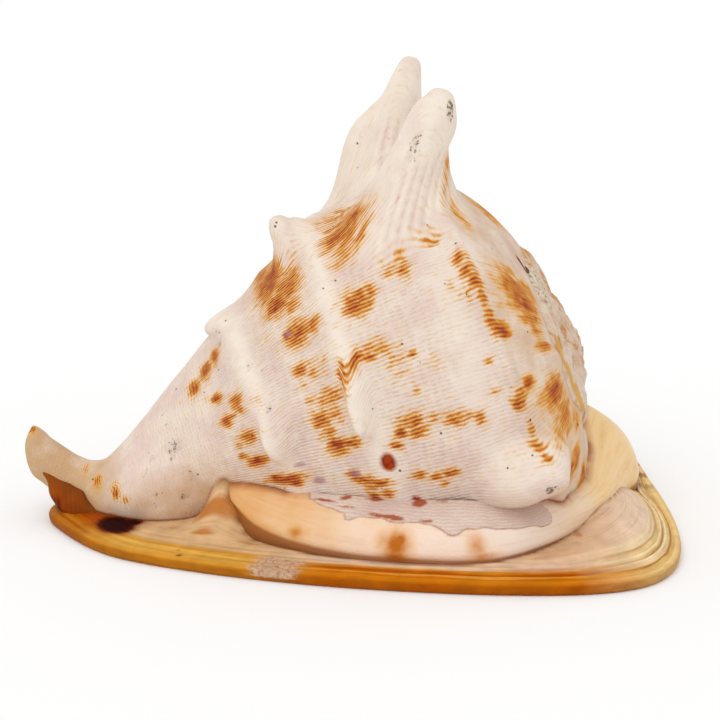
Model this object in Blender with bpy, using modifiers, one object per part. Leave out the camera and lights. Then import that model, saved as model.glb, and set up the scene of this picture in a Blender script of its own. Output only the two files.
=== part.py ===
"""Horned helmet shell, one grown piece, resting on the flat face around its mouth.

The canal points to -X, the spire to +X, and the shield side of the base to -Y.
Shapes are worked out in millimetres and scaled to metres as each mesh is made.
"""

import math

import bmesh
import bpy
import numpy as np

MM = 0.001

# Plan shift that sets the middle of the finished shell over the origin.
CENTRING = np.array([3.78, -2.98, 0.0])

# Axis of the coil: it climbs from the canal towards the spire.
AXIS_TILT = math.radians(17.8)
AXIS_START = np.array([-85.0, -2.0, 11.5])
AXIS_WAY = np.array([math.cos(AXIS_TILT), 0.0, math.sin(AXIS_TILT)])
ACROSS = np.array([0.0, 1.0, 0.0])
APEX_ALONG = 172.5

# Last whorl: angles in degrees about the axis, 0 on top, -90 on the shield side, growing to the lip.
WHORL_FIRST = -210.0
WHORL_LAST = 150.0
WHORL_COLUMNS = 150
CLOSING_COLUMNS = 4
SHRINK_PER_TURN = 0.54
SPIRE_TURNS = 4
SPIRE_COLUMNS_PER_TURN = 56
SPIRE_KNOBS_PER_TURN = 9
SPIRE_KNOB_SHARE = 0.06
MIDDLE_RADIUS = 72.8
MIDDLE_ALONG = 138.5
SHOULDER_RADIUS = ((-210, 52.0), (-170, 55.5), (-140, 61.0), (-110, 65.0), (-75, 67.5),
                   (-40, 70.0), (0, 72.8), (40, 75.0), (90, 77.5), (150, 79.0))
SHOULDER_ALONG = ((-210, 154.5), (-110, 147.5), (-46, 143.0), (-12, 138.5), (25, 130.0),
                  (90, 124.0), (150, 122.0))

# Flank below the shoulder at angle 0: distance along the axis and radius, down to inside the canal.
FLANK = ((120, 74.0), (100, 70.6), (86, 64.6), (70, 56.2), (52, 45.2), (36, 35.4), (16.3, 22.4),
         (2, 13.2), (-10, 9.4), (-20, 8.2), (-30, 7.4), (-37, 6.8), (-38.6, 5.8), (-37.2, 4.8),
         (-29.5, 3.8))
RAMP_ROWS = (3, 4, 4, 3)
FLANK_ROWS = (4, 5, 3, 4, 4, 4, 5, 4, 3, 3, 3, 2, 2, 2, 2)

# Canal: it leaves the body along the axis and bends up.
CANAL_BEND = 25.0
CANAL_RISE = math.radians(38)
CANAL_TIP_SLANT = 4.6

# Low cords that run round the flank: along at angle 0, along at angle -75, height, half width.
CORDS = ((91.0, 94.0, 1.6, 6.0), (54.0, 61.0, 1.4, 5.5), (70.0, 76.0, 0.6, 3.5))

# Horns and knobs: angle, along, height, tip radius, foot radius, tip point or None, widths.
HORNS = (
    (-14, 129.5, 36, 6.4, 28, (27.0, -23.5, 158.0), 1.1, 1.15),
    (22, 120, 40, 5.0, 28, (17.5, 25.0, 163.0), 0.9, 1.1),
    (64, 124, 26, 6.0, 28, None, 1.0, 1.1),
    (106, 122, 15, 6.0, 24, None, 1.0, 1.1),
    (-2, 90, 13, 5.2, 15, (-31.5, -3.0, 107.5), 1.1, 0.9),
)
KNOBS = (
    (25, 108, 15, 18, (-12.0, 33.0, 129.0), 0.8, 0.9),
    (-46, 142, 6, 26, None, 1.0, 1.0),
    (-112, 143, 13, 20, (65.0, -78.5, 29.0), 1.0, 1.3),
    (-72, 93, 6, 10, (-4.0, -66.0, 53.0), 1.9, 0.9),
    (-2, 54, 6, 10, (-53.5, -4.0, 70.5), 1.3, 0.9),
    (-79, 62, 6, 10, (-33.0, -52.5, 37.0), 1.6, 0.9),
    (66, 84, 8, 12, None, 1.4, 0.9),
    (66, 50, 5, 10, None, 1.4, 0.9),
    (-104, 12, 9, 27, None, 1.0, 1.0),
)

# Base: plan outline of the flat rim, and the long core that its top surface climbs to.
RIM = ((-111.5, -4), (-105.5, -24), (-86, -50), (-55, -67), (-20, -79), (12, -86), (45, -90),
       (74, -89.5), (93, -83), (104, -70), (109.5, -52), (111.6, -28), (111, 2), (108.6, 30),
       (105, 60), (95, 84), (71, 95), (40, 95), (2, 86), (-38, 69), (-74, 43), (-98, 20))
RIM_POINTS = 150
CORE_CENTRE = (18.0, 5.0)
CORE_HALF = (72.0, 14.0)
SHIELD_THICK = 3.9
SHIELD_SLOPE = 0.05
SHIELD_STEPS = (5.0, 10.0, 16.0)
SHIELD_STEP_RISE = 0.75
LIP_THICK = 15.0
LIP_ROLL = 9.0
SPIRE_MOUND = 5.0
REST_OVERLAP = 3.0

# Former lip: the pale roll between the body and the shield, as outer and inner edge points.
STRIP_OUTER = ((-50.5, -22, 21.5), (-42.5, -37.5, 14.5), (-30.7, -51, 11), (-10, -65.6, 8.4),
               (19.9, -74.5, 7.4), (43.8, -74.7, 7.4), (62, -64, 8.6), (76.4, -48, 9.5),
               (87.2, -32, 9.5), (96.4, -5.5, 9), (101.5, 8, 8.5), (103, 24, 8), (100, 42, 8),
               (94, 58, 9), (84, 70, 10))
STRIP_INNER = ((-49, -14, 19.8), (-35, -28, 20), (-18, -38, 18), (0, -44, 13),
               (22, -47, 10.5), (42, -50, 10), (57, -46, 11), (66, -36, 14),
               (74, -22, 22), (78, -6, 33), (80, 4, 39), (79, 16, 38), (75, 28, 34),
               (69, 42, 29), (60, 54, 24))
STRIP_BULGE = (2.0, 3.0, 3.5, 3.5, 3.5, 3.5, 3.5, 4.0, 4.0, 5.0, 5.0, 5.0, 5.0, 5.0, 4.0)
STRIP_SHARES = (0.0, 0.08, 0.2, 0.35, 0.5, 0.65, 0.8, 0.92, 1.0)
STRIP_FOOT = 3.0
STRIP_REACH_IN = 0.6
STRIP_STEPS = 5

# Mouth: a long toothed slot, its centre line in plan and half width at each point.
MOUTH = ((-92, 0, 2.6), (-76, 9, 4.0), (-50, 25, 5.2), (-20, 39, 6.6), (12, 48, 7.2),
         (44, 50, 6.6), (68, 43, 5.0), (82, 29, 3.2))
MOUTH_STEPS = 12
MOUTH_TEETH = 13
MOUTH_TOOTH = 2.2
MOUTH_EVEN_TO = 7.0
MOUTH_END_DEPTH = 0.15
MOUTH_LEVELS = ((-6.0, 1.0), (7.0, 1.0), (14.0, 1.25), (26.0, 1.7), (40.0, 1.6), (50.0, 0.9))
DISH_CENTRE = (12.0, 6.0, 0.0)
DISH_HALF = (88.0, 62.0, 6.0)

# Joining: one skin over all the pieces, thinned to an even triangle count.
SKIN_VOXEL = 1.5
SKIN_TRIANGLES = 7100
LOWEST_FLANK = 4.0
FLOOR_BLEND = 2.0

SHELL_COLOUR = (0.80, 0.66, 0.54, 1.0)
SHELL_ROUGHNESS = 0.42


def linear_ease(x, low, high):
    """0 below low, 1 above high, with a smooth rise between."""
    t = np.clip((x - low) / (high - low), 0.0, 1.0)
    return t * t * (3.0 - 2.0 * t)


def through_knots(x, knots):
    """Value at x of a smooth curve through (x, y) knots that doesn't overshoot them."""
    xs, ys = np.array(knots, float).T
    x = np.clip(np.asarray(x, float), xs[0], xs[-1])
    steps = np.diff(xs)
    slopes = np.diff(ys) / steps
    same_way = slopes[:-1] * slopes[1:] > 0
    harmonic = 2.0 * slopes[:-1] * slopes[1:] / np.where(same_way, slopes[:-1] + slopes[1:], 1.0)
    tangents = np.concatenate([slopes[:1], np.where(same_way, harmonic, 0.0), slopes[-1:]])
    i = np.clip(np.searchsorted(xs, x, side="right") - 1, 0, len(steps) - 1)
    t = (x - xs[i]) / steps[i]
    start = (1 + 2 * t) * (1 - t) ** 2 * ys[i] + t * (1 - t) ** 2 * steps[i] * tangents[i]
    end = t * t * (3 - 2 * t) * ys[i + 1] + t * t * (t - 1) * steps[i] * tangents[i + 1]
    return start + end


def smooth_run(points, counts):
    """Points along a smooth curve through the given ones, with counts[i] steps in stretch i."""
    points = np.asarray(points, float)
    last = len(points) - 1
    run = []
    for i in range(last):
        p1, p2 = points[i], points[i + 1]
        p0 = points[i - 1] if i > 0 else 2 * p1 - p2
        p3 = points[i + 2] if i + 2 <= last else 2 * p2 - p1
        for t in np.arange(counts[i]) / counts[i]:
            run.append(0.5 * (2 * p1 + (p2 - p0) * t + (2 * p0 - 5 * p1 + 4 * p2 - p3) * t ** 2
                              + (3 * p1 - p0 - 3 * p2 + p3) * t ** 3))
    run.append(points[last])
    return np.array(run)


def closed_run(points, count):
    """Evenly spaced points on a smooth closed curve through the given ones."""
    points = np.asarray(points, float)
    wrapped = np.vstack([points[-2:], points, points[:3]])
    fine = smooth_run(wrapped, [24] * (len(wrapped) - 1))[48:24 * (len(points) + 2) + 1]
    length = np.concatenate([[0.0], np.cumsum(np.linalg.norm(np.diff(fine, axis=0), axis=1))])
    at = np.linspace(0.0, length[-1], count, endpoint=False)
    return np.stack([np.interp(at, length, column) for column in fine.T], -1)


def growth(angle):
    """Size of the coil at an angle, against its size where the last whorl begins."""
    return np.where(angle < WHORL_FIRST, SHRINK_PER_TURN ** ((WHORL_FIRST - angle) / 360.0), 1.0)


def shoulder(angle):
    """Distance along the axis and radius of the shoulder, with the small knobs of the spire."""
    scale = growth(angle)
    knob = np.clip(np.cos(np.radians(SPIRE_KNOBS_PER_TURN * angle)), 0.0, 1.0) ** 2
    knob = knob * linear_ease(-angle, -WHORL_FIRST, -WHORL_FIRST + 60.0)
    radius = through_knots(np.maximum(angle, WHORL_FIRST), SHOULDER_RADIUS) * scale
    along = through_knots(np.maximum(angle, WHORL_FIRST), SHOULDER_ALONG)
    along = APEX_ALONG - (APEX_ALONG - along) * scale
    return along + radius * SPIRE_KNOB_SHARE * knob, radius * (1 + SPIRE_KNOB_SHARE * knob)


def seam(angle):
    """Where the next whorl covers this one: just below the shoulder."""
    along, radius = shoulder(angle)
    return along - 0.10 * radius, 0.985 * radius


def profile(angle, with_flank):
    """Smooth profile at each angle, as rows of (along, radius), from the seam outwards."""
    along, radius = shoulder(angle)
    seam_along, seam_radius = seam(angle - 360.0)
    ramp = [(seam_along, seam_radius)]
    for along_share, radius_share, bulge in ((0.30, 0.34, 0.045), (0.66, 0.74, 0.058)):
        ramp.append((seam_along + (along - seam_along) * along_share + bulge * radius,
                     seam_radius + (radius - seam_radius) * radius_share))
    ramp.append((along, radius))
    ramp.append(seam(angle))
    if not with_flank:
        return smooth_run(np.moveaxis(np.array(ramp), 1, -1), RAMP_ROWS)
    for flank_along, flank_radius in FLANK:
        shift = (along - MIDDLE_ALONG) * linear_ease(flank_along, 45.0, 125.0)
        widen = 1.0 + (radius / MIDDLE_RADIUS - 1.0) * linear_ease(flank_along, 0.0, 60.0)
        ramp.append((flank_along + shift, flank_radius * widen))
    return smooth_run(np.moveaxis(np.array(ramp), 1, -1), RAMP_ROWS + FLANK_ROWS)


def placed(along, radius, angle):
    """World points of axis coordinates; the axis bends up into the canal below 0."""
    below = np.clip(-along, 0.0, None)
    bent = np.minimum(below, CANAL_BEND)
    rate = (CANAL_RISE + AXIS_TILT) / CANAL_BEND
    heading = -AXIS_TILT + rate * bent
    straight = below - bent
    back = (np.sin(heading) + math.sin(AXIS_TILT)) / rate + straight * math.cos(CANAL_RISE)
    up = (math.cos(AXIS_TILT) - np.cos(heading)) / rate + straight * math.sin(CANAL_RISE)
    above = np.clip(along, 0.0, None)
    flat = np.zeros_like(along)
    centre = AXIS_START + np.stack([above * AXIS_WAY[0] - back, flat, above * AXIS_WAY[2] + up], -1)
    rise = np.stack([np.sin(heading), flat, np.cos(heading)], -1)
    onward = np.stack([-np.cos(heading), flat, np.sin(heading)], -1)
    turn = np.radians(angle)
    slant = CANAL_TIP_SLANT * linear_ease(-along, 18.0, 34.0) * np.cos(turn)
    return (centre + (radius * np.cos(turn))[..., None] * rise
            + (radius * np.sin(turn))[..., None] * ACROSS + slant[..., None] * onward)


def with_cords(rows, angles):
    """The profile rows with the low cords raised on the flank."""
    along, radius = rows[..., 0], rows[..., 1]
    outside = linear_ease(radius, 10.0, 25.0) * linear_ease(-along, -125.0, -110.0)
    for at_top, at_side, height, half in CORDS:
        centre = at_top + (at_side - at_top) * np.clip(-angles / 75.0, -1.0, 2.0)
        radius = radius + outside * height * np.exp(-(((along - centre) / half) ** 2))
    return np.stack([along, radius], -1)


def foot_of(angle, along):
    """The point of the plain flank nearest a distance along the axis, and its outward normal."""
    near = np.array([angle - 0.5, angle, angle + 0.5])
    rows = profile(near, True)[sum(RAMP_ROWS[:3]):]
    i = int(np.argmin(abs(rows[:, 1, 0] - along)))
    points = placed(rows[..., 0], rows[..., 1], np.broadcast_to(near, rows.shape[:2]))
    down = points[i + 1, 1] - points[i - 1, 1]
    round_way = points[i, 2] - points[i, 0]
    down /= np.linalg.norm(down)
    round_way /= np.linalg.norm(round_way)
    normal = np.cross(round_way, down)
    if normal[2] * math.cos(math.radians(angle)) + normal[1] * math.sin(math.radians(angle)) < 0:
        normal = -normal
    return points[i, 1], round_way, down, normal


def near_foot(points, angle, along, foot, tip, height, widths):
    """What a horn or knob needs: nearby points, their offsets and reach, its way and height."""
    centre, round_way, down, normal = foot_of(angle, along)
    offset = points - centre
    reach = np.sqrt((offset @ round_way / widths[0]) ** 2 + (offset @ down / widths[1]) ** 2
                    + (offset @ normal) ** 2)
    way = normal * height if tip is None else np.array(tip) - centre
    height = np.linalg.norm(way)
    return reach < foot, offset, reach, way / height, height


def horn_moves(points):
    """How far each point goes as the skin is drawn out into horns, and how free of a horn it is."""
    moves, free = np.zeros_like(points), np.ones(len(points))
    for angle, along, height, tip_radius, foot, tip, *widths in HORNS:
        near, offset, reach, way, height = near_foot(points, angle, along, foot, tip, height, widths)
        outline = smooth_run([(0, height), (0.74 * tip_radius, height - 0.32 * tip_radius),
                              (1.06 * tip_radius, height - 1.1 * tip_radius),
                              (1.32 * tip_radius, 0.56 * height),
                              (1.65 * tip_radius, 0.28 * height),
                              (0.6 * tip_radius + 0.5 * foot, 0.08 * height), (foot, 0)], [12] * 6)
        length = np.concatenate([[0], np.cumsum(np.linalg.norm(np.diff(outline, axis=0), axis=1))])
        share = reach[near] / foot
        out = np.interp(share * length[-1], length, outline[:, 0])
        up = np.interp(share * length[-1], length, outline[:, 1])
        lengthways = (offset[near] @ way)[:, None] * way
        sideways = offset[near] - lengthways
        moves[near] += (sideways * (out / np.maximum(reach[near], 1e-9) - 1.0)[:, None]
                        + lengthways * (linear_ease(share, 0.3, 1.0) - 1.0)[:, None]
                        + way * up[:, None])
        free[near] = np.minimum(free[near], linear_ease(share, 0.3, 0.8))
    return moves, free[:, None]


def knob_moves(points):
    """How far each point goes as the skin is lifted into low rounded knobs."""
    moves = np.zeros_like(points)
    for angle, along, height, foot, tip, *widths in KNOBS:
        near, offset, reach, way, height = near_foot(points, angle, along, foot, tip, height, widths)
        share = reach[near] / foot
        moves[near] += way * (height * (1.0 - share ** 2.4) ** 2.4)[:, None]
    return moves


def off_the_floor(points):
    """The underside eased to stay above the base's own floor."""
    height = points[..., 2]
    eased = LOWEST_FLANK + FLOOR_BLEND * np.logaddexp(0.0, (height - LOWEST_FLANK) / FLOOR_BLEND)
    points[..., 2] = np.where(height > LOWEST_FLANK + 6 * FLOOR_BLEND, height, eased)
    return points


def whorl_points():
    """Last whorl and canal as rows by columns; the last columns close the step at the lip."""
    angles = np.linspace(WHORL_FIRST, WHORL_LAST, WHORL_COLUMNS + 1)
    rows = with_cords(profile(angles, True), angles)
    points = placed(rows[..., 0], rows[..., 1], np.broadcast_to(angles, rows.shape[:2]))
    plain = points.reshape(-1, 3)
    drawn_out, free = horn_moves(plain)
    points = off_the_floor((plain + drawn_out + knob_moves(plain) * free).reshape(points.shape))
    seam_row = sum(RAMP_ROWS)
    home = points[np.maximum(np.arange(len(points)), seam_row), 0]
    closing = [points[:, -1] * (1 - t) + home * t for t in np.arange(1, CLOSING_COLUMNS + 1) / CLOSING_COLUMNS]
    return np.concatenate([points, np.stack(closing, 1)], 1)


def spire_points():
    """The earlier whorls, of which only the ramp shows."""
    count = SPIRE_TURNS * SPIRE_COLUMNS_PER_TURN
    angles = np.linspace(WHORL_FIRST - 360.0 * SPIRE_TURNS, WHORL_FIRST, count + 1)
    rows = profile(angles, False)
    points = placed(rows[..., 0], rows[..., 1], np.broadcast_to(angles, rows.shape[:2]))
    return off_the_floor(points)


def base_points():
    """The base from its underside over the rim to its core, as rows of closed loops."""
    rim = closed_run(RIM, RIM_POINTS)
    bearing = np.arctan2((rim[:, 1] - CORE_CENTRE[1]) / 90.0, (rim[:, 0] - CORE_CENTRE[0]) / 105.0)
    core = np.array(CORE_CENTRE) + np.array(CORE_HALF) * np.stack([np.cos(bearing), np.sin(bearing)], -1)
    inward = core - rim
    span = np.linalg.norm(inward, axis=1)
    inward /= span[:, None]
    lip = linear_ease(rim[:, 1], 20, 62) * (1 - 0.85 * linear_ease(rim[:, 0], 60, 104))
    canal_end = linear_ease(-rim[:, 0], 88, 106)
    spire_end = linear_ease(rim[:, 0], 84, 106)
    rows = [(rim + inward * 4.0, np.full(RIM_POINTS, -REST_OVERLAP)),
            (rim + inward * 1.2, np.full(RIM_POINTS, -REST_OVERLAP)),
            (rim + inward * 0.3, np.full(RIM_POINTS, 1.2)),
            (rim, 2.6 + 4.0 * lip)]
    for into in (0.7, 2.0, 4.0, 6.0, 9.0, 11.0, 14.0, 17.0, 20.0, 27.0, 35.0, 45.0):
        steps = sum(SHIELD_STEP_RISE * linear_ease(into, at - 1.0, at + 1.0) for at in SHIELD_STEPS)
        thin = SHIELD_THICK + SHIELD_SLOPE * into + steps
        if into < LIP_ROLL:
            roll = 6.0 + (LIP_THICK - 6.0) * math.sqrt(1 - (1 - into / LIP_ROLL) ** 2)
        else:
            roll = LIP_THICK + 0.35 * (into - LIP_ROLL)
        height = (thin * (1 - lip) + roll * lip + canal_end * 0.45 * min(into, 14.0)
                  + spire_end * SPIRE_MOUND * linear_ease(into, 13.0, 34.0))
        rows.append((rim + inward * np.minimum(into, span)[:, None], height))
    points = np.array([np.column_stack(row) for row in rows])
    return np.concatenate([points, points[:, :1]], 1)


def strip_points():
    """The former lip as a closed tube of sections that bulge up and outwards, rows along it."""
    counts = [STRIP_STEPS] * (len(STRIP_OUTER) - 1)
    outer, inner = smooth_run(STRIP_OUTER, counts), smooth_run(STRIP_INNER, counts)
    bulge = smooth_run(STRIP_BULGE, counts)[:, None]
    way = inner - outer
    flat = np.linalg.norm(way[:, :2], axis=1)[:, None]
    outwards = np.column_stack([-way[:, :2] / flat * way[:, 2:], flat])
    outwards /= np.linalg.norm(outwards, axis=1)[:, None]
    foot = np.column_stack([outer[:, :2], np.full(len(outer), STRIP_FOOT)])
    heel = inner + STRIP_REACH_IN * way
    heel[:, 2] = STRIP_FOOT
    rows = [foot]
    for share in STRIP_SHARES:
        rows.append(outer + way * share + outwards * bulge * 4.0 * share * (1.0 - share))
    return np.array(rows + [heel, foot])


def mouth_points():
    """The mouth slot as rows of closed loops going up into the body, toothed on both edges."""
    counts = [MOUTH_STEPS] * (len(MOUTH) - 1)
    line = smooth_run(MOUTH, counts)
    centre, half = line[:, :2], line[:, 2]
    way = np.gradient(centre, axis=0)
    way /= np.linalg.norm(way, axis=1)[:, None]
    side = np.stack([-way[:, 1], way[:, 0]], -1)
    along = np.linspace(0.0, 1.0, len(line))
    teeth = MOUTH_TOOTH * np.cos(2 * math.pi * MOUTH_TEETH * along) * linear_ease(along, 0.12, 0.3)
    shallow = linear_ease(along, 0.0, 0.35) * linear_ease(1.0 - along, 0.0, 0.4)
    depth = MOUTH_END_DEPTH + (1.0 - MOUTH_END_DEPTH) * np.concatenate([shallow, shallow[::-1]])
    middle = centre.mean(axis=0)
    rows = []
    for height, widen in MOUTH_LEVELS:
        bite = teeth * linear_ease(-height, -16.0, -6.0)
        far = centre + side * (half * widen + 0.5 * bite)[:, None]
        near = centre - side * (half * widen - 0.35 * bite)[:, None]
        shorten = 1.0 - 0.30 * linear_ease(height, 10.0, 45.0)
        loop = middle + (np.concatenate([far, near[::-1]]) - middle) * shorten
        level = height if height <= MOUTH_EVEN_TO else MOUTH_EVEN_TO + (height - MOUTH_EVEN_TO) * depth
        rows.append(np.column_stack([loop, np.broadcast_to(level, len(loop))]))
    points = np.array(rows)
    return np.concatenate([points, points[:, :1]], 1)


def mesh_of_grid(bm, points):
    """A grid primitive bent to the points, which are rows by columns in millimetres."""
    rows, columns = points.shape[:2]
    made = bmesh.ops.create_grid(bm, x_segments=columns - 1, y_segments=rows - 1, size=1.0)["verts"]
    for vertex in made:
        row = round((vertex.co.y + 1.0) * 0.5 * (rows - 1))
        column = round((vertex.co.x + 1.0) * 0.5 * (columns - 1))
        vertex.co = (points[row, column] + CENTRING) * MM
    return made


def closed_piece(bm, *grids):
    """Grids that share edges, welded into one skin with its end loops filled."""
    made = [vertex for points in grids for vertex in mesh_of_grid(bm, points)]
    bmesh.ops.remove_doubles(bm, verts=made, dist=1e-6)
    bmesh.ops.dissolve_degenerate(bm, edges=bm.edges[:], dist=1e-7)
    bmesh.ops.holes_fill(bm, edges=[edge for edge in bm.edges if edge.is_boundary], sides=0)


def piece(name, collection, *grids):
    """A mesh object made of welded grids, with its faces turned outwards."""
    bm = bmesh.new()
    closed_piece(bm, *grids)
    bmesh.ops.recalc_face_normals(bm, faces=bm.faces[:])
    mesh = bpy.data.meshes.new(name)
    bm.to_mesh(mesh)
    bm.free()
    made = bpy.data.objects.new(name, mesh)
    collection.objects.link(made)
    return made


def rest_cutter(collection):
    """A slab below the rest plane."""
    bm = bmesh.new()
    bmesh.ops.create_cube(bm, size=1.0)
    bmesh.ops.scale(bm, vec=(0.4, 0.4, 0.02), verts=bm.verts[:])
    bmesh.ops.translate(bm, vec=(0.0, 0.0, -0.01), verts=bm.verts[:])
    mesh = bpy.data.meshes.new("rest_plane_cutter")
    bm.to_mesh(mesh)
    bm.free()
    made = bpy.data.objects.new("rest_plane_cutter", mesh)
    collection.objects.link(made)
    return made


def dish_cutter(collection):
    """A shallow bowl that leaves the rim of the underside as the rest face."""
    bm = bmesh.new()
    bmesh.ops.create_uvsphere(bm, u_segments=48, v_segments=12, radius=1.0)
    bmesh.ops.scale(bm, vec=np.array(DISH_HALF) * MM, verts=bm.verts[:])
    bmesh.ops.translate(bm, vec=(np.array(DISH_CENTRE) + CENTRING) * MM, verts=bm.verts[:])
    mesh = bpy.data.meshes.new("dish_cutter")
    bm.to_mesh(mesh)
    bm.free()
    made = bpy.data.objects.new("dish_cutter", mesh)
    collection.objects.link(made)
    return made


def joined(name, pieces, collection):
    """The pieces as one object whose parts still pass through each other."""
    bm = bmesh.new()
    for part in pieces:
        bm.from_mesh(part.data)
    mesh = bpy.data.meshes.new(name)
    bm.to_mesh(mesh)
    bm.free()
    made = bpy.data.objects.new(name, mesh)
    collection.objects.link(made)
    return made


def cut(target, cutter, name):
    """An exact Boolean difference on the target."""
    modifier = target.modifiers.new(name, "BOOLEAN")
    modifier.operation = "DIFFERENCE"
    modifier.solver = "EXACT"
    modifier.object = cutter


def shell_material():
    """Pale glossy shell."""
    material = bpy.data.materials.new("shell")
    material.use_nodes = True
    surface = material.node_tree.nodes["Principled BSDF"]
    surface.inputs["Base Color"].default_value = SHELL_COLOUR
    surface.inputs["Roughness"].default_value = SHELL_ROUGHNESS
    surface.inputs["Metallic"].default_value = 0.0
    return material


def skin_ratio(target):
    """How far to thin the skin so that about SKIN_TRIANGLES are left."""
    bpy.context.view_layer.update()
    evaluated = target.evaluated_get(bpy.context.evaluated_depsgraph_get())
    mesh = evaluated.to_mesh()
    mesh.calc_loop_triangles()
    count = len(mesh.loop_triangles)
    evaluated.to_mesh_clear()
    return SKIN_TRIANGLES / count


def main():
    """Build the shell."""
    for old in list(bpy.data.objects):
        bpy.data.objects.remove(old, do_unlink=True)
    shell_collection = bpy.data.collections.new("helmet_shell")
    helpers = bpy.data.collections.new("cutters")
    for collection in (shell_collection, helpers):
        bpy.context.scene.collection.children.link(collection)
    helpers.hide_render = True

    parts = [piece("whorls", helpers, whorl_points(), spire_points()),
             piece("base", helpers, base_points()),
             piece("former_lip", helpers, strip_points())]
    cutters = [rest_cutter(helpers), dish_cutter(helpers), piece("mouth_cutter", helpers, mouth_points())]
    for helper in parts + cutters:
        helper.display_type = "WIRE"
        helper.hide_render = True

    shell = joined("shell", parts, shell_collection)
    shell.data.materials.append(shell_material())
    skin = shell.modifiers.new("one_skin", "REMESH")
    skin.mode = "VOXEL"
    skin.voxel_size = SKIN_VOXEL * MM
    skin.adaptivity = 0.0
    ratio = skin_ratio(shell)
    thin = shell.modifiers.new("thinned", "DECIMATE")
    thin.ratio = ratio
    for cutter, name in zip(cutters, ("rest_plane", "dish", "mouth")):
        cut(shell, cutter, name)


if __name__ == "__main__":
    main()
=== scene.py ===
"""Horned helmet shell: the visible shell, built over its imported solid.

Shapes are worked out in millimetres and written to each mesh in metres.
The canal points to -X, the spire to +X, and the shield side of the base to -Y.
"""

import functools
import math

import bmesh
import bpy
import numpy as np
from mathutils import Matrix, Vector, noise
from mathutils.bvhtree import BVHTree


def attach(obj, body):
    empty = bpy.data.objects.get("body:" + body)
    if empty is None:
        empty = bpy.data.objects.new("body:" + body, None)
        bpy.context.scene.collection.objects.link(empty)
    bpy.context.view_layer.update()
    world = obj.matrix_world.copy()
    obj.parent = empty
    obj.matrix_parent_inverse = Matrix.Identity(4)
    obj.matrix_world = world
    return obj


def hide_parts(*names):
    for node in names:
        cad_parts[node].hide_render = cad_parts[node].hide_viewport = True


bl_info = {
    "name": "Horned helmet shell",
    "version": (1, 0, 0),
    "blender": (4, 5, 0),
    "location": "3D View > Sidebar > Shell",
    "description": "Builds a horned helmet shell resting mouth down, with its materials and stage",
    "category": "Object",
}

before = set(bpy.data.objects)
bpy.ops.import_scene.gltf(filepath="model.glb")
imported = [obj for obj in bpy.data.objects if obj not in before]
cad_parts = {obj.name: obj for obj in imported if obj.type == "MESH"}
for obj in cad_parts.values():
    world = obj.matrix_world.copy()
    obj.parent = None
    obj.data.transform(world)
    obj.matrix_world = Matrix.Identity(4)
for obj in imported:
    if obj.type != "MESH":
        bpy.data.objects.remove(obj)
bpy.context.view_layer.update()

MM = 0.001
# Points of a mesh that are nearer than the first are one point, and edges shorter than the second go.
WELD_WITHIN = 2e-6
NO_LENGTH = 1e-7
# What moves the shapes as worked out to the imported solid's place, in millimetres.
CENTRING = np.array([3.78, -2.98, 0.0])

# Axis of the coil: it climbs from the canal towards the spire.
AXIS_TILT = math.radians(17.8)
AXIS_START = np.array([-85.0, -2.0, 11.5])
AXIS_WAY = np.array([math.cos(AXIS_TILT), 0.0, math.sin(AXIS_TILT)])
ACROSS = np.array([0.0, 1.0, 0.0])
APEX_ALONG = 172.5

# Last whorl: angles in degrees about the axis, 0 on top, -90 on the shield side, growing to the lip.
WHORL_FIRST = -210.0
WHORL_LAST = 150.0
WHORL_COLUMNS = 360
# Columns inside the shell that bring the whorl's end back to its beginning.
CLOSING_COLUMNS = 4
# Spire: its size after one more turn, its turns, and its knobs with their height against its radius.
SHRINK_PER_TURN = 0.54
SPIRE_TURNS = 4
SPIRE_COLUMNS_PER_TURN = 160
SPIRE_KNOBS_PER_TURN = 9
SPIRE_KNOB_SHARE = 0.04
# Shoulder: its radius and its distance along the axis, where the flank was measured and by angle.
MIDDLE_RADIUS = 72.8
MIDDLE_ALONG = 138.5
SHOULDER_RADIUS = ((-210, 52.0), (-170, 55.5), (-140, 61.0), (-110, 65.0), (-75, 67.5),
                   (-40, 70.0), (0, 72.8), (40, 75.0), (90, 77.5), (150, 79.0))
SHOULDER_ALONG = ((-210, 154.5), (-110, 147.5), (-46, 143.0), (-12, 138.5), (25, 130.0),
                  (90, 124.0), (150, 122.0))
# Flank, from the shoulder down to the canal's tip: along, radius.
FLANK = ((120, 74.0), (100, 70.6), (86, 64.6), (70, 56.2), (52, 45.2), (36, 35.4), (16.3, 22.4),
         (2, 13.2), (-10, 9.4), (-20, 8.2), (-29.5, 7.4), (-36, 6.8), (-37.6, 5.8), (-36.2, 4.8),
         (-28.5, 3.8))
# Ramp between seam and shoulder: share of the way along and out, and its bulge against the radius.
RAMP_SHAPE = ((0.30, 0.34, 0.045), (0.62, 0.70, 0.050), (0.86, 0.91, 0.012))
RAMP_ROWS = (12, 13, 11, 8, 8)
FLANK_ROWS = (16, 20, 12, 16, 16, 16, 20, 16, 12, 12, 12, 8, 6, 6, 6)
# The row that runs along the shoulder, where the flank begins.
SHOULDER_ROW = sum(RAMP_ROWS[:4])
# Where the profile goes on below the shoulder, against its radius: how far down, and how wide.
BELOW_SHOULDER = (0.10, 0.985)
# Canal: the length in which it bends up, its slope past the bend, and its tip's slant, bulge and lift.
CANAL_BEND = 25.0
CANAL_RISE = math.radians(38)
CANAL_TIP_SLANT = 5.0
CANAL_TIP_BULGE = 2.6
CANAL_LIFT = (1.0, 1.3)
# Radius at which a step of angle counts as its true length in the growth lines' spacing.
NOMINAL_RADIUS = 60.0
# Where along the axis the whorl's two ends close inside it.
WHORL_ENDS = (120.0, -24.0)

# Rows of the spire's whorls beside their inner seam, which are drawn darker in patches.
SUTURE_ROWS = 2.4
# How far apart the flutes on the feet of the horns are. They run round the coil.
FLUTE_SPACING = 5.6

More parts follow.
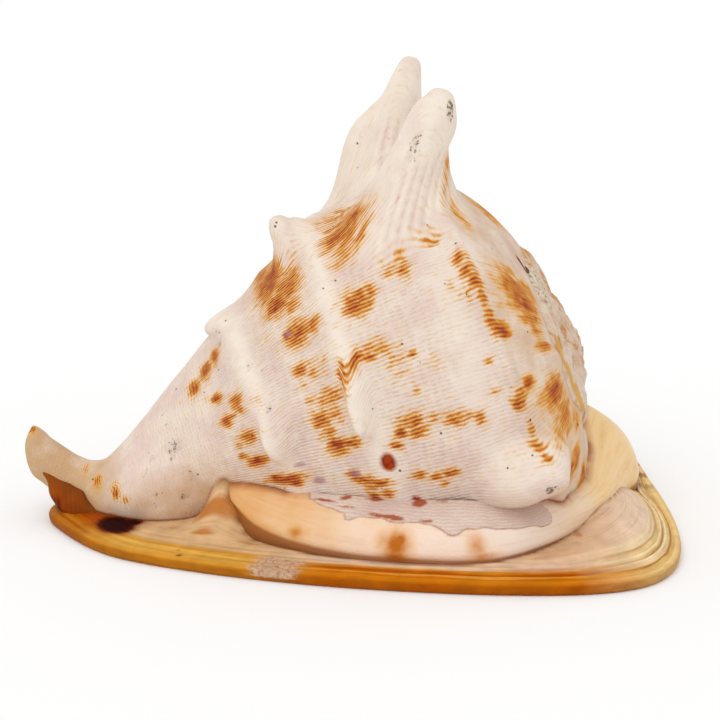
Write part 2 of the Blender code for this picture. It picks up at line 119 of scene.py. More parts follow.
# Rows by the spire over which the unevenness fades out, those that the shoulder's ridge keeps off,
# and the ridge's height and width.
SEAM_ROWS = 7
RIDGE_CLEAR_ROWS = 20
SHOULDER_RIDGE = 0.9
RIDGE_WIDTH = 2.2

# Low cords that run round the flank: along at angle 0, along at angle -75, height, half width.
CORDS = ((91.0, 94.0, 1.6, 6.0), (54.0, 61.0, 1.4, 5.5), (70.0, 76.0, 0.6, 3.5))

# Horns: angle, along, height, tip radius, foot radius, tip point or None, widths round and along,
# and how many tip radii wide the horn is a little below its tip and at its waist.
HORNS = (
    (-14, 123.5, 36, 6.5, 26, (28.6, -23.5, 157.0), 1.12, 1.22, 1.36, 1.6),
    (22, 120, 40, 4.2, 28, (18.6, 25.0, 162.4), 1.0, 1.05, 1.65, 2.15),
    (64, 124, 26, 5.6, 28, None, 1.0, 1.1, 1.3, 1.6),
    (106, 122, 15, 6.0, 24, None, 1.0, 1.1, 1.1, 1.5),
    (-2, 85, 12, 5.6, 14, (-29.8, -3.0, 110.2), 1.1, 0.95, 0.98, 1.12),
)
# How much closer the skin's rows stand towards a horn's tip than over its foot.
TIP_FINENESS = 1.3
# A horn with a broader foot than this is drawn out up to its foot's edge, and a smaller one not so far.
BROAD_FOOT = 16.0
# Steps in each stretch of a horn's outline.
OUTLINE_STEPS = 12
# Low knobs: angle, along, height, foot radius, tip point or None, widths round and along.
KNOBS = (
    (25, 106.0, 12, 17, (-12.5, 33.0, 122.0), 0.8, 0.9),
    (-46, 142, 6, 26, None, 1.0, 1.0),
    (-111, 141.5, 13, 17, (62.0, -78.5, 34.0), 1.0, 1.4),
    (-70, 96, 6, 9.5, (-1.2, -68.6, 52.0), 1.95, 0.54),
    (-2, 54, 6, 10, (-53.5, -4.0, 70.5), 1.3, 0.9),
    (-74, 64, 6, 9.5, (-30.5, -53.0, 40.0), 1.5, 0.8),
    (66, 84, 8, 12, None, 1.4, 0.9),
    (66, 50, 5, 10, None, 1.4, 0.9),
    (-104, 7, 10, 30, None, 1.0, 1.0),
)

# Base: plan outline of the flat rim, from the canal end along the shield side to the spire end and back.
RIM = ((-111.5, -4), (-105.5, -24), (-86, -50), (-55, -67), (-20, -79), (12, -86), (45, -90),
       (74, -89.5), (93, -83), (104, -70), (109.5, -52), (111.6, -28), (111, 2), (108.6, 30),
       (105, 60), (95, 84), (71, 95), (40, 95), (2, 86), (-38, 69), (-74, 43), (-98, 20))
# Points along each side of the rim, where the sides meet at the spire end, and steps between points
# of the rim and the mouth while their curves are drawn.
RIM_SIDE_COLUMNS = 280
RIM_TURN = (109.6, 22.0)
PLAN_STEPS = 24
# Core inside the shell that the rim's loops run in to, and its top: centre, half sizes, height.
CORE_CENTRE = (18.0, 5.0)
CORE_HALF = (72.0, 14.0)
CORE_BEARING = (105.0, 90.0)
CORE_TOP = ((2.0, 5.0), (48.0, 12.0), 34.0)
# How far in from the rim the loops of the upper side lie.
SHIELD_REACHES = (*np.linspace(0.3, 3.0, 8), *np.arange(3.45, 19.0, 0.45), *np.arange(20, 46, 2.0))
# How much thicker the shield is for each millimetre in from the rim.
SHIELD_SLOPE = 0.05
# Steps of its layers: how far in from the rim they stand, and how high.
SHIELD_STEPS = (4.8, 7.6, 10.2, 13.0, 16.2)
SHIELD_STEP_RISE = 0.5
# Outer lip: how far in its edge is rolled.
LIP_ROLL = 9.0
# How far the shield rises at the spire end, and against the body beside the canal, around one x.
SPIRE_MOUND = 5.0
SHIELD_CLIMB = 35.5
CLIMB_AT = -59.5

# Fold below the canal: points of its middle line, each with half its width and half its thickness.
FOLD_LINE = ((-91.0, -14.5, 3.5, 4.0, 3.0), (-97.5, -13.5, 5.0, 4.4, 4.4), (-102.5, -12.0, 7.5, 4.4, 6.2),
             (-106.8, -9.5, 11.0, 3.6, 4.8), (-110.4, -8.0, 15.4, 2.2, 2.2), (-114.6, -7.5, 19.6, 1.2, 1.0))
FOLD_ROWS = 40

# Mouth: a long toothed slot, its centre line in plan and half width at each point.
MOUTH = ((-92, 0, 2.6), (-76, 9, 4.0), (-50, 25, 5.2), (-20, 39, 6.6), (12, 48, 7.2),
         (44, 50, 6.6), (66, 44, 5.0), (78, 33, 3.2))
# Heights inside it, from the lips to the roof, each with how wide it is there against its lips.
MOUTH_LEVELS = ((3.2, 1.0), (5.0, 0.98), (7.0, 1.02), (9.5, 1.15), (12.0, 1.3), (14.5, 1.45),
                (17.0, 1.45), (19.2, 1.2), (20.6, 0.7), (21.0, 0.0))
# Height of its lips, number of teeth, how far they stand out, and the underside's hollow around it.
MOUTH_LIPS_AT = 3.2
MOUTH_TEETH = 12
MOUTH_TOOTH = 2.4
DISH_CENTRE = (12.0, 6.0)
DISH_HALF = (90.0, 64.0)
DISH_DEPTH = 3.6

# Former lip: the pale roll between the body and the shield, as outer and inner edge points.
LIP_OUTER = ((-48.5, -33, 25), (-44.6, -40, 17.2), (-33.3, -53, 10.6), (-10, -66.8, 7.6),
             (19.9, -74.5, 7.0), (43.8, -74.7, 7.2), (62, -64, 8.6), (76.4, -48, 9.5),
             (86.8, -32, 9.5), (95.6, -5.5, 9), (101, 8, 8.5), (102.5, 24, 8), (100, 42, 8),
             (94, 58, 9), (84, 70, 10))
LIP_INNER = ((-47.2, -32.5, 25.5), (-39.5, -40.6, 24), (-18, -50.0, 23), (0, -56.3, 23.5),
             (22, -61.2, 24), (38, -63.0, 24), (54, -60.0, 21.5), (66, -49.5, 22.5),
             (75, -29, 24.5), (78, -6, 33), (80, 4, 39), (79, 16, 38), (75, 28, 34),
             (69, 42, 29), (60, 54, 24))
LIP_BULGE = (0.3, 1.4, 2.4, 2.6, 2.8, 2.8, 2.6, 3.0, 4.0, 5.0, 5.0, 5.0, 5.0, 5.0, 4.0)
# Height of its hidden foot, how far it reaches in below its inner edge, its steps and rows, and the
# shares of its length in which its two ends taper.
LIP_FOOT = 5.0
LIP_REACH_IN = 0.4
LIP_STEPS = 24
LIP_ROWS = 44
LIP_TAPER = (0.004, 0.12)
# Edge of the newer layer that laps over the former lip: distance along it, share of its width.
LIP_LAP = ((0, 1.1), (30, 1.0), (37, 0.80), (48, 0.68), (57, 0.61), (60.5, 0.49), (65, 0.59), (74, 0.57),
           (78, 0.53), (85, 0.55), (93, 0.50), (99, 0.36), (104, 0.44), (112, 0.47), (121, 0.43), (129, 0.43),
           (135, 0.35), (139, 0.5), (143, 1.0), (147, 1.3), (160, 2.5))
# How high that layer stands over the roll.
LIP_TONGUE_RISE = 0.5
# Where it hides the crease between the roll and the body: x from and to, y below, z above.
LAPPED = (-24.0, 62.0, 0.0, 12.0)
# How far from its neighbours each piece is darkened, in millimetres: painted contact shade in the crease,
# with a brown line along the seam.
CONTACT_SHADE_REACH = {"last_whorl": 0.9, "shield": 1.2, "former_lip": 3.0, "canal_fold": 5.0}

# Layers of the base by distance in from the rim in millimetres, for four stretches of it.
TIP_LAYERS = ((0, "#B0650F"), (2.0, "#BC741A"), (3.2, "#A25610"), (4.4, "#BC741E"), (6.5, "#B4620E"),
              (8.5, "#AC5008"), (10.5, "#A04508"), (15.0, "#8A3F0F"))
LEFT_LAYERS = ((0, "#C67E1E"), (1.0, "#D49430"), (4.0, "#DBA84E"), (5.2, "#CE8E2C"), (6.2, "#E0B058"),
               (8.6, "#DCA544"), (9.8, "#CF8A26"), (10.8, "#CE9C5C"), (12.5, "#D3AC7A"), (19.0, "#D6B083"))
FRONT_LAYERS = ((0, "#B85F06"), (1.2, "#C87208"), (3.0, "#D08012"), (4.6, "#C46804"), (5.2, "#DA983C"),
                (6.2, "#C46C04"), (7.4, "#A84A02"), (8.3, "#CE7E18"), (9.4, "#CB8A3E"), (10.2, "#DFBA97"),
                (12.5, "#DDBCA0"), (19.0, "#D8B18A"))
RIGHT_LAYERS = ((0, "#E0B66E"), (2.5, "#EFCF8E"), (4.7, "#E4BC74"), (5.3, "#9C6218"), (6.2, "#E8C888"),
                (8.4, "#F4E0BA"), (9.4, "#B98A3C"), (10.4, "#F0D8A6"), (12.6, "#E8CA92"), (13.4, "#BC8C44"),
                (14.4, "#EEDAB2"), (17.0, "#E9CFA8"), (19.0, "#E6C8AC"))
# How far in from the rim the colours of these layers are spread, in millimetres.
LAYERS_DEEP = 20.0
# Where along the rim each stretch gives way to the next, in millimetres.
LAYER_CHANGES = ((30.0, 54.0), (106.0, 134.0), (220.0, 252.0))
# Scale of a wave texture with one wave to the millimetre, and how far apart the weak ribs are.
WAVE_UNIT = 0.314
RIB_SPACING = 3.0
# How strongly the growth lines show, from the faintest to the deepest, and the tone of their grooves.
FAINTEST_DASH = 0.15
DEEPEST_DASH = 1.1
GROOVE_MAUVE = "#C3988A"

# Floor, in metres, camera, and the room's soft light.
FLOOR_HALF = 3.0
FLOOR_DROP = 0.0001
CAMERA_LENS = 119.0
CAMERA_TILT = math.radians(14.0)
CAMERA_DISTANCE = 850.0
CAMERA_AIM = np.array([0.0, 0.0, 57.0])
ROOM_LIGHT = 0.86
SOFTBOX_PLACE = (-0.4, -0.8, 1.3)
SOFTBOX_ANGLE = 0.8
SOFTBOX_STRENGTH = 0.75

# Orange-brown stains of the back: angle, along, half width in degrees, half length, depth of colour.
STAINS = (
    (-18, 96.4, 4.3, 1.5, 0.95), (-19.2, 99.3, 6.8, 1.7, 0.9), (-1.4, 102.7, 3.1, 1.5, 0.7),
    (-6.4, 98.8, 6.4, 2.8, 0.6), (-27.4, 102.9, 2.3, 2.1, 0.75), (-28.4, 101, 2.9, 3.1, 0.6),
    (-22, 101.8, 3.2, 1.8, 0.65), (-23.6, 104.4, 3, 1.8, 0.55), (-12.2, 96.9, 3.1, 1, 0.75),
    (-44.4, 103.9, 3.7, 4.3, 0.9), (-46, 101.5, 1.7, 2.4, 0.95), (-42.8, 108.7, 1.7, 2.4, 0.8),
    (-11.4, 73.9, 10.7, 4.7, 0.98), (-22.2, 81.1, 6.4, 4.5, 0.85), (-27, 75.5, 4.5, 3.9, 1),
    (-31.8, 81, 3.4, 2.7, 0.8), (-28.6, 74.9, 2, 1.4, 1.15), (6.4, 71.3, 17.7, 3.9, 0.75),
    (-43.4, 80.7, 4.1, 4.3, 0.9), (-44, 86.6, 2.6, 2.1, 0.88), (-42, 76.7, 1.5, 1.1, 1.15),
    (-43.2, 89.5, 1.6, 1.3, 0.6), (-55.8, 78.5, 2, 2, 0.98), (-58, 84, 3.2, 4, 0.5),
    (-68.4, 85.9, 2.4, 4.1, 0.78), (-62.6, 92.9, 2.3, 1.9, 0.66), (-60.4, 95.7, 1.2, 1.3, 0.6),
    (-74.6, 80.8, 2.8, 3.2, 0.85), (-74.2, 86.1, 2.5, 2.4, 0.62), (-79.2, 81.5, 1.8, 2.8, 0.7),
    (-84.2, 82.8, 2.2, 2.9, 1.1), (-84.6, 87.9, 1.6, 2.7, 1), (-87, 83.3, 1.5, 3.4, 0.7),
    (-62.6, 91.9, 1.3, 1.3, 0.95), (-59.6, 93.8, 1.1, 1.2, 1), (-59.8, 98.4, 1.4, 2.3, 0.98),
    (-61.6, 102.9, 1, 2.2, 0.95), (-60.6, 108, 1.2, 2, 0.75), (-59.6, 104, 2.4, 5.1, 0.55),
    (-64.8, 110.7, 1.9, 3.5, 0.5), (-64.8, 116.7, 0.9, 1.2, 0.85), (-68.6, 122.7, 2.2, 2.5, 0.4),
    (-69.2, 110.9, 1.6, 2.8, 0.42), (-74.6, 114.5, 1.5, 1.9, 0.4), (-61, 112.5, 1.1, 2.5, 0.5),
    (-82.6, 109.9, 2, 4.2, 0.85), (-85.6, 105.1, 1.3, 1.8, 1.08), (-86.2, 111.2, 1.7, 2.4, 0.92),
    (-83.6, 117.3, 1.5, 2.5, 0.6), (-88.8, 102.6, 1.1, 1.8, 1), (-85.6, 124.1, 2, 3.2, 0.8),
    (-87.4, 131.7, 1.9, 1.8, 0.85), (-85.8, 128.2, 1.4, 2.4, 0.6), (-72.6, 140.2, 0.8, 1.6, 0.85),
    (-81.4, 139.6, 0.8, 2.3, 0.55), (-86.8, 145.1, 1.8, 1.8, 1), (-100, 145.8, 1.2, 1.9, 1),
    (-103.4, 145.5, 1, 1.5, 0.95), (-99.6, 106.8, 1.3, 2.4, 0.9), (-101.6, 111.8, 1.2, 2.1, 0.82),
    (-101.4, 116.9, 1.5, 2.5, 0.84), (-104.6, 113.1, 1.1, 1.8, 0.6), (-95.6, 85.1, 1.1, 1.7, 1.05),
    (-98.4, 88.3, 1.6, 3, 1), (-100, 93.1, 1.5, 3, 0.92), (-105.4, 89.4, 1.6, 1.5, 1.05),
    (-104.2, 94, 1.6, 2.1, 0.85), (-101.6, 89.1, 1.2, 2.7, 0.7), (-113.8, 114.8, 1.1, 2.4, 0.6),
    (-110.6, 102.6, 1.4, 1.2, 0.6), (-24.4, 48.5, 4.1, 1.6, 0.95), (-27.6, 44.0, 4.6, 2.2, 1),
    (-32.8, 38.5, 4.2, 2.2, 0.95), (-47.6, 45.8, 2.5, 1.9, 0.95), (-54.4, 52.6, 2.8, 2.3, 0.85),
    (-59, 53.7, 2.4, 1.8, 0.8), (-61, 47.4, 2.6, 2.1, 0.98), (-60.4, 50.4, 1.4, 1.8, 0.8),
    (-72, 53.5, 3, 2.8, 0.86), (-74.6, 49.8, 2, 1.8, 0.6), (-83.4, 54.2, 2, 2.8, 1.15),
    (-80, 49.6, 1.4, 1.6, 0.85), (-85.2, 51.7, 1, 1.7, 0.8), (-93.8, 61.9, 2, 5.4, 1.08),
    (-92.6, 58.6, 1.5, 1.9, 1.1), (-95.8, 65.2, 1.3, 2.3, 1.1), (-104, 65.8, 1.7, 3.2, 0.5),
    (-39.4, 117.8, 2, 3, 0.6), (-40.4, 122, 2.8, 2.2, 0.72), (-37.4, 120.9, 1.2, 2.1, 0.6),
    (-35, 132.5, 1.1, 2.8, 0.6), (-33.4, 135.3, 0.6, 2.1, 0.5), (-51.8, 135.8, 1.6, 2, 0.35),
    (-54.2, 137.7, 1.5, 1.4, 0.3), (-50.8, -6, 10.2, 2.2, 0.8), (-69.2, 4.5, 8.1, 1.4, 0.92),
    (-81.8, 8, 5.5, 1.3, 0.6), (-30.8, -15.6, 16.3, 2.1, 0.5), (-44.6, 41.6, 2.3, 1.6, 0.3),
    (-37.8, 68.8, 2.5, 2.2, 0.3), (-58.8, 59.9, 2.3, 2.2, 0.3), (-67, 78.8, 1.9, 2.1, 0.5),
    (-61.2, 77.9, 1.4, 1.7, 0.45),
    (-20, -38, 18, 1.6, 1), (-113.6, 94, 4, 1, 0.9), (-118, 104, 3, 0.8, 0.6),
)
# Stains of the ramp above the shoulder: angle, radius, half width in degrees, half width, depth.
RAMP_STAINS = (
    (-65.6, 65.9, 2.5, 2.6, 1), (-63.2, 68, 1.5, 1.9, 0.8), (-44.8, 71.7, 2.2, 2, 0.9),
    (-49, 70.5, 2.1, 2.6, 0.82), (-52.6, 69.2, 1.8, 2, 1), (-57.2, 68.6, 2.7, 1.3, 0.66),
    (-60.8, 67.8, 2.4, 1.5, 0.7), (-55, 72.7, 2.7, 1.2, 0.55), (-26, 66.6, 5.6, 1.6, 0.55),
    (-50.6, 54.6, 5.7, 7.4, 0.85), (-55, 51.9, 5.1, 8.9, 0.95), (-61, 50.4, 4.2, 7.2, 0.75),
    (-66.4, 49.3, 2.8, 5.6, 0.65), (-72.8, 46.9, 2.4, 6.5, 0.82), (-46.6, 56.7, 4.9, 6.6, 0.6),
    (-47.8, 46.2, 4.8, 7.1, 0.7), (-90.2, 50.4, 5.3, 8.1, 0.98), (-101.4, 47.5, 7.3, 9.2, 0.74),
    (-112.6, 40.3, 4.8, 5.5, 0.7), (-102.6, 56.1, 3.7, 5.9, 0.58), (-88.6, 57.9, 3, 2.5, 0.6),
    (-82.6, 62.8, 2.1, 1.8, 1), (-84.4, 65.7, 1.6, 2.1, 0.85), (-96, 66.3, 1.7, 1.1, 0.75),
    (-92.8, 66.5, 1.3, 0.6, 0.6), (-16.4, 69.4, 7.6, 1.8, 0.6), (-19.4, 77.7, 1.7, 2.7, 0.6),
    (-120, 55, 5, 8, 0.75), (-138, 50, 5, 6, 0.85), (-155, 56, 4, 7, 0.7), (-176, 50, 5, 6, 0.8),
    (-194, 52, 4, 5, 0.75), (-4, 56, 5, 6, 0.7), (14, 62, 4, 6, 0.8), (34, 54, 6, 7, 0.85),
    (58, 60, 5, 7, 0.7), (82, 52, 6, 6, 0.85), (108, 62, 5, 7, 0.75), (132, 56, 5, 6, 0.8),
)
# Patches of grey and black specks: angle, along, half width in degrees, half length, strength.
SPECKLED = (
    (-17.8, 127.0, 1.1, 1.8, 1.3), (-19.0, 127.4, 0.9, 1.4, 1.0), (-24.4, 114.8, 1.9, 3.0, 0.8),
    (-26.0, 118.5, 1.2, 1.4, 0.65), (-23.8, 136.0, 1.4, 1.2, 0.6), (-18.5, 141.7, 2.4, 1.0, 0.7),
    (-19, 120, 0.5, 0.5, 0.7), (-112.6, 143.3, 0.9, 0.9, 1.0), (-63, 65, 1.2, 1.0, 1.0),
    (-44, 61, 3.0, 1.5, 0.7), (-50, 65, 3.0, 0.8, 0.6),
    (-13, 53, 2.0, 1.0, 0.9), (-20, 51.5, 3.0, 0.7, 0.8), (-60, 26, 5.0, 3.0, 0.85),
    (-50, 28, 2.0, 1.0, 0.7), (-83, 29, 3.5, 0.8, 0.9), (-96, 25, 2.5, 1.2, 0.9), (-96, 18, 2.5, 1.2, 0.95),
    (-86, 18, 2.5, 0.9, 0.8), (-67, 24, 2.5, 1.2, 0.7), (-66, 16, 2.5, 0.8, 0.7), (-58, 18, 2.5, 1.2, 0.7),
    (-42, 25, 4.0, 1.2, 0.6), (-113, 141, 1.6, 1.6, 1.0), (-75, 96, 3.0, 2.0, 0.5), (-101, 60, 4.0, 1.0, 0.4),
)
# Smooth dark ovals and mauve ones, in the same terms.
OVALS = ((-24.0, 159.9, 2.2, 0.8, 1.2), (-93.2, 98, 2.4, 2.1, 1.0), (-109.5, 102.6, 2.2, 1.4, 0.9),
         (-107, 78, 1.4, 1.5, 0.8))
MAUVES = ((-96.5, 73, 1.3, 1.8, 0.8), (-88.6, 68.4, 0.9, 1.8, 0.7), (-95.5, 86, 1.4, 1.6, 0.6),
          (-41.5, 77.5, 1.3, 1.2, 0.6), (-76, 72, 6.0, 3.0, 0.25))
# Marks of the base: distance along the rim, distance in, half length, half width, strength.
SHIELD_SPOTS = ((39.8, 13.2, 7.2, 4.3, 1.3), (43.0, 18.5, 3.6, 3.4, 1.0),
                (81.0, 3.5, 0.9, 1.2, 0.6), (78.5, 7.0, 0.7, 0.8, 0.5))
SHIELD_CHIPS = ((117.0, 2.5, 7.4, 3.0, 1.0), (117.5, 8.0, 7.4, 2.6, 0.9))
SHIELD_CRESCENTS = ((74.0, 28.0, 3.2, 1.9, 0.95), (82.0, 25.0, 8.0, 1.6, 1.0), (91.0, 27.0, 3.2, 1.6, 0.9),
                    (81.0, 19.0, 5.0, 0.9, 0.85), (102.0, 19.0, 5.0, 1.0, 0.6), (64.0, 23.0, 2.8, 1.4, 0.6),
                    (229.0, 27.0, 4.0, 0.8, 0.7), (233.0, 33.0, 1.6, 2.4, 0.7), (240.0, 37.0, 3.2, 0.7, 0.8),
                    (216.0, 21.0, 8.0, 0.7, 0.5), (210.0, 10.3, 18.0, 0.6, 0.6))
# Marks of the former lip: distance along it, share of its width, half length, half share, strength.
LIP_SPOTS = ((43.5, 0.13, 3.0, 0.10, 0.95), (47.0, 0.16, 2.0, 0.07, 0.5), (75.1, 0.22, 2.4, 0.18, 0.7),
             (80.0, 0.18, 4.8, 0.24, 1.15), (81.0, 0.25, 3.0, 0.14, 1.25), (80.0, 0.02, 5.0, 0.12, 1.1),
             (107.0, 0.20, 3.2, 0.20, 0.85), (106.5, 0.33, 2.0, 0.08, 0.6), (108.5, 0.04, 5.5, 0.08, 0.8),
             (17.5, 0.02, 9.0, 0.05, 0.7), (30.5, 0.02, 9.0, 0.04, 0.5), (213.5, 0.16, 4.0, 0.05, 0.4))
# Stains of the newer layer over it, in the same terms.
LAP_STAINS = ((74.5, 0.62, 5.0, 0.035, 0.95), (78.5, 0.59, 3.0, 0.03, 0.85), (69.5, 0.65, 2.5, 0.03, 0.7),
              (90.0, 0.58, 3.0, 0.025, 0.75), (56.0, 0.74, 4.0, 0.03, 0.6), (44.0, 0.82, 5.0, 0.03, 0.8),
              (86.0, 0.93, 2.4, 0.07, 1.1), (52.0, 0.93, 2.2, 0.05, 1.0), (66.0, 0.96, 4.0, 0.05, 0.85),
              (96.0, 0.97, 4.0, 0.04, 0.5))
# Chalky chips of the spire, its dark pit and the yellow callus by its seam: angle, along, half sizes,
# strength.
SPIRE_CHIPS = ((-383, 162.2, 8, 2.2, 1.0), (-393, 163.4, 10, 2.4, 0.95), (-403, 164.6, 6, 1.2, 0.7))
SPIRE_PITS = ((-381, 160.8, 2.6, 0.7, 1.2),)
SPIRE_CALLUS = ((-438, 163.7, 12, 0.35, 0.9), (-458, 164.4, 12, 0.42, 0.95), (-478, 165.2, 12, 0.6, 1.0))
# Thin stain lines, as (angle, along) points.
STAIN_LINES = (((-108.5, 72.5), (-105, 68), (-102, 64)),)
STAIN_LINE_HALF = 0.55
# Stained belts that the hidden sides carry on: along, and how far apart their marks stand in degrees.
STAIN_BELTS = ((82.0, 11.0), (104.0, 13.0), (54.0, 14.0), (141.0, 24.0))


# Curves and easing

def ease(x, low, high):
    """0 below low, 1 above high, with a smooth rise between."""
    t = np.clip((x - low) / (high - low), 0.0, 1.0)
    return t * t * (3.0 - 2.0 * t)


def through_knots(x, knots):
    """Value at x of a smooth curve through (x, y) knots that doesn't overshoot them."""
    xs, ys = np.array(knots, float).T
    x = np.clip(np.asarray(x, float), xs[0], xs[-1])
    steps = np.diff(xs)
    slopes = np.diff(ys) / steps
    same_way = slopes[:-1] * slopes[1:] > 0
    harmonic = 2.0 * slopes[:-1] * slopes[1:] / np.where(same_way, slopes[:-1] + slopes[1:], 1.0)
    tangents = np.concatenate([slopes[:1], np.where(same_way, harmonic, 0.0), slopes[-1:]])
    i = np.clip(np.searchsorted(xs, x, side="right") - 1, 0, len(steps) - 1)
    t = (x - xs[i]) / steps[i]
    start = (1 + 2 * t) * (1 - t) ** 2 * ys[i] + t * (1 - t) ** 2 * steps[i] * tangents[i]
    end = t * t * (3 - 2 * t) * ys[i + 1] + t * t * (t - 1) * steps[i] * tangents[i + 1]
    return start + end


def smooth_run(points, counts):
    """Points along a smooth curve through the given ones, with counts[i] steps in stretch i."""
    points = np.asarray(points, float)
    last = len(points) - 1
    run = []
    for i in range(last):
        p1, p2 = points[i], points[i + 1]
        p0 = points[i - 1] if i > 0 else 2 * p1 - p2
        p3 = points[i + 2] if i + 2 <= last else 2 * p2 - p1
        for t in np.arange(counts[i]) / counts[i]:
            run.append(0.5 * (2 * p1 + (p2 - p0) * t + (2 * p0 - 5 * p1 + 4 * p2 - p3) * t ** 2
                              + (3 * p1 - p0 - 3 * p2 + p3) * t ** 3))
    run.append(points[last])
    return np.array(run)


def evenly(run, count):
    """The curve resampled at count + 1 evenly spaced points."""
    length = np.concatenate([[0.0], np.cumsum(np.linalg.norm(np.diff(run, axis=0), axis=1))])
    at = np.linspace(0.0, length[-1], count + 1)
    return np.stack([np.interp(at, length, column) for column in run.T], -1)


def rough(points, size, seed):
    """Smooth random values between about -1 and 1 at points in millimetres, with lumps of a size."""
    shift = Vector((17.3 * seed, -9.1 * seed, 4.7 * seed))
    flat = np.asarray(points, float).reshape(-1, 3) / size
    values = [noise.noise(Vector(point) + shift) for point in flat.tolist()]
    return np.array(values).reshape(np.asarray(points).shape[:-1])


def millimetres(length):
    """A length of the settings in millimetres, without the last digits that its storage adds."""
    return round(length / MM, 4)


# Coil

def growth(angle):
    """Size of the coil at an angle, against its size where the last whorl begins."""
    return np.where(angle < WHORL_FIRST, SHRINK_PER_TURN ** ((WHORL_FIRST - angle) / 360.0), 1.0)


def shoulder(angle):
    """Distance along the axis and radius of the shoulder, with the small knobs of the spire."""
    scale = growth(angle)
    knob = np.clip(np.cos(np.radians(SPIRE_KNOBS_PER_TURN * angle)), 0.0, 1.0) ** 2
    knob *= 0.7 + 0.5 * np.sin(np.radians(angle) * 3.7) + 0.3 * np.sin(np.radians(angle) * 1.3)
    knob = knob * ease(-angle, -WHORL_FIRST, -WHORL_FIRST + 60.0)
    radius = through_knots(np.maximum(angle, WHORL_FIRST), SHOULDER_RADIUS) * scale
    along = through_knots(np.maximum(angle, WHORL_FIRST), SHOULDER_ALONG)
    along = APEX_ALONG - (APEX_ALONG - along) * scale
    return along + radius * SPIRE_KNOB_SHARE * knob, radius * (1 + SPIRE_KNOB_SHARE * knob)


def seam(angle):
    """Where the next whorl covers this one: at the shoulder of the spire, below it on the last whorl."""
    along, radius = shoulder(angle)
    early = ease(-angle, -WHORL_FIRST - 20.0, -WHORL_FIRST + 30.0)
    drop, width = BELOW_SHOULDER
    return along - (drop - 0.16 * early) * radius, (width - 0.115 * early) * radius


def profile(angle, with_flank):
    """Smooth profile at each angle, as rows of (along, radius), from the seam over the shoulder."""
    along, radius = shoulder(angle)
    seam_along, seam_radius = seam(angle - 360.0)
    ramp = [(seam_along, seam_radius)]
    for along_share, radius_share, bulge in RAMP_SHAPE:
        ramp.append((seam_along + (along - seam_along) * along_share + bulge * radius,
                     seam_radius + (radius - seam_radius) * radius_share))
    ramp.append((along, radius))
    ramp.append((along - BELOW_SHOULDER[0] * radius, BELOW_SHOULDER[1] * radius))
    if not with_flank:
        return smooth_run(np.moveaxis(np.array(ramp), 1, -1), RAMP_ROWS)
    for flank_along, flank_radius in FLANK:
        shift = (along - MIDDLE_ALONG) * ease(flank_along, 45.0, 125.0)
        widen = 1.0 + (radius / MIDDLE_RADIUS - 1.0) * ease(flank_along, 0.0, 60.0)
        ramp.append((flank_along + shift, flank_radius * widen))
    return smooth_run(np.moveaxis(np.array(ramp), 1, -1), RAMP_ROWS + FLANK_ROWS)


def placed(along, radius, angle):
    """World points of axis coordinates; the axis bends up into the canal below 0."""
    below = np.clip(-along, 0.0, None)
    bent = np.minimum(below, CANAL_BEND)
    rate = (CANAL_RISE + AXIS_TILT) / CANAL_BEND
    heading = -AXIS_TILT + rate * bent
    straight = below - bent
    back = (np.sin(heading) + math.sin(AXIS_TILT)) / rate + straight * math.cos(CANAL_RISE)
    up = (math.cos(AXIS_TILT) - np.cos(heading)) / rate + straight * math.sin(CANAL_RISE)
    above = np.clip(along, 0.0, None)
    flat = np.zeros_like(along)
    centre = AXIS_START + np.stack([above * AXIS_WAY[0] - back, flat, above * AXIS_WAY[2] + up], -1)
    rise = np.stack([np.sin(heading), flat, np.cos(heading)], -1)
    onward = np.stack([-np.cos(heading), flat, np.sin(heading)], -1)
    turn = np.radians(angle)
    slant = CANAL_TIP_SLANT * np.cos(turn) + CANAL_TIP_BULGE * np.sin(turn) ** 2
    slant = slant * ease(-along, 18.0, 34.0)
    lift = (CANAL_LIFT[0] * ease(-along, 0.0, 15.0)
            + CANAL_LIFT[1] * ease(-along, 26.0, 38.0) * (1 + np.cos(turn)) / 2)
    return (centre + (radius * np.cos(turn) + lift)[..., None] * rise
            + (radius * np.sin(turn))[..., None] * ACROSS + slant[..., None] * onward)


def on_flank(along, radius):
    """1 on the flank, fading out on the canal and towards the shoulder."""
    return ease(radius, 10.0, 25.0) * ease(-along, -125.0, -110.0)


def cord_middle(at_top, at_side, angles):
    """Where the middle of a cord runs at each angle, as a distance along the axis."""
    return at_top + (at_side - at_top) * np.clip(-angles / 75.0, -1.0, 2.0)


def with_cords(rows, angles):
    """The profile rows with the low cords raised on the flank."""
    along, radius = rows[..., 0], rows[..., 1]
    flank = on_flank(along, radius)
    for at_top, at_side, height, half in CORDS:
        off = (along - cord_middle(at_top, at_side, angles)) / half
        radius = radius + flank * height * np.exp(-(off ** 2))
    return np.stack([along, radius], -1)


def foot_of(angle, along):
    """The plain flank's point at a distance along the axis: round way, way down, outward normal."""
    near = np.array([angle - 0.5, angle, angle + 0.5])
    rows = profile(near, True)[SHOULDER_ROW:]
    i = int(np.argmin(abs(rows[:, 1, 0] - along)))
    points = placed(rows[..., 0], rows[..., 1], np.broadcast_to(near, rows.shape[:2]))
    down = points[i + 1, 1] - points[i - 1, 1]
    round_way = points[i, 2] - points[i, 0]
    down /= np.linalg.norm(down)
    round_way /= np.linalg.norm(round_way)
    normal = np.cross(round_way, down)
    if normal[2] * math.cos(math.radians(angle)) + normal[1] * math.sin(math.radians(angle)) < 0:
        normal = -normal
    return points[i, 1], round_way, down, normal


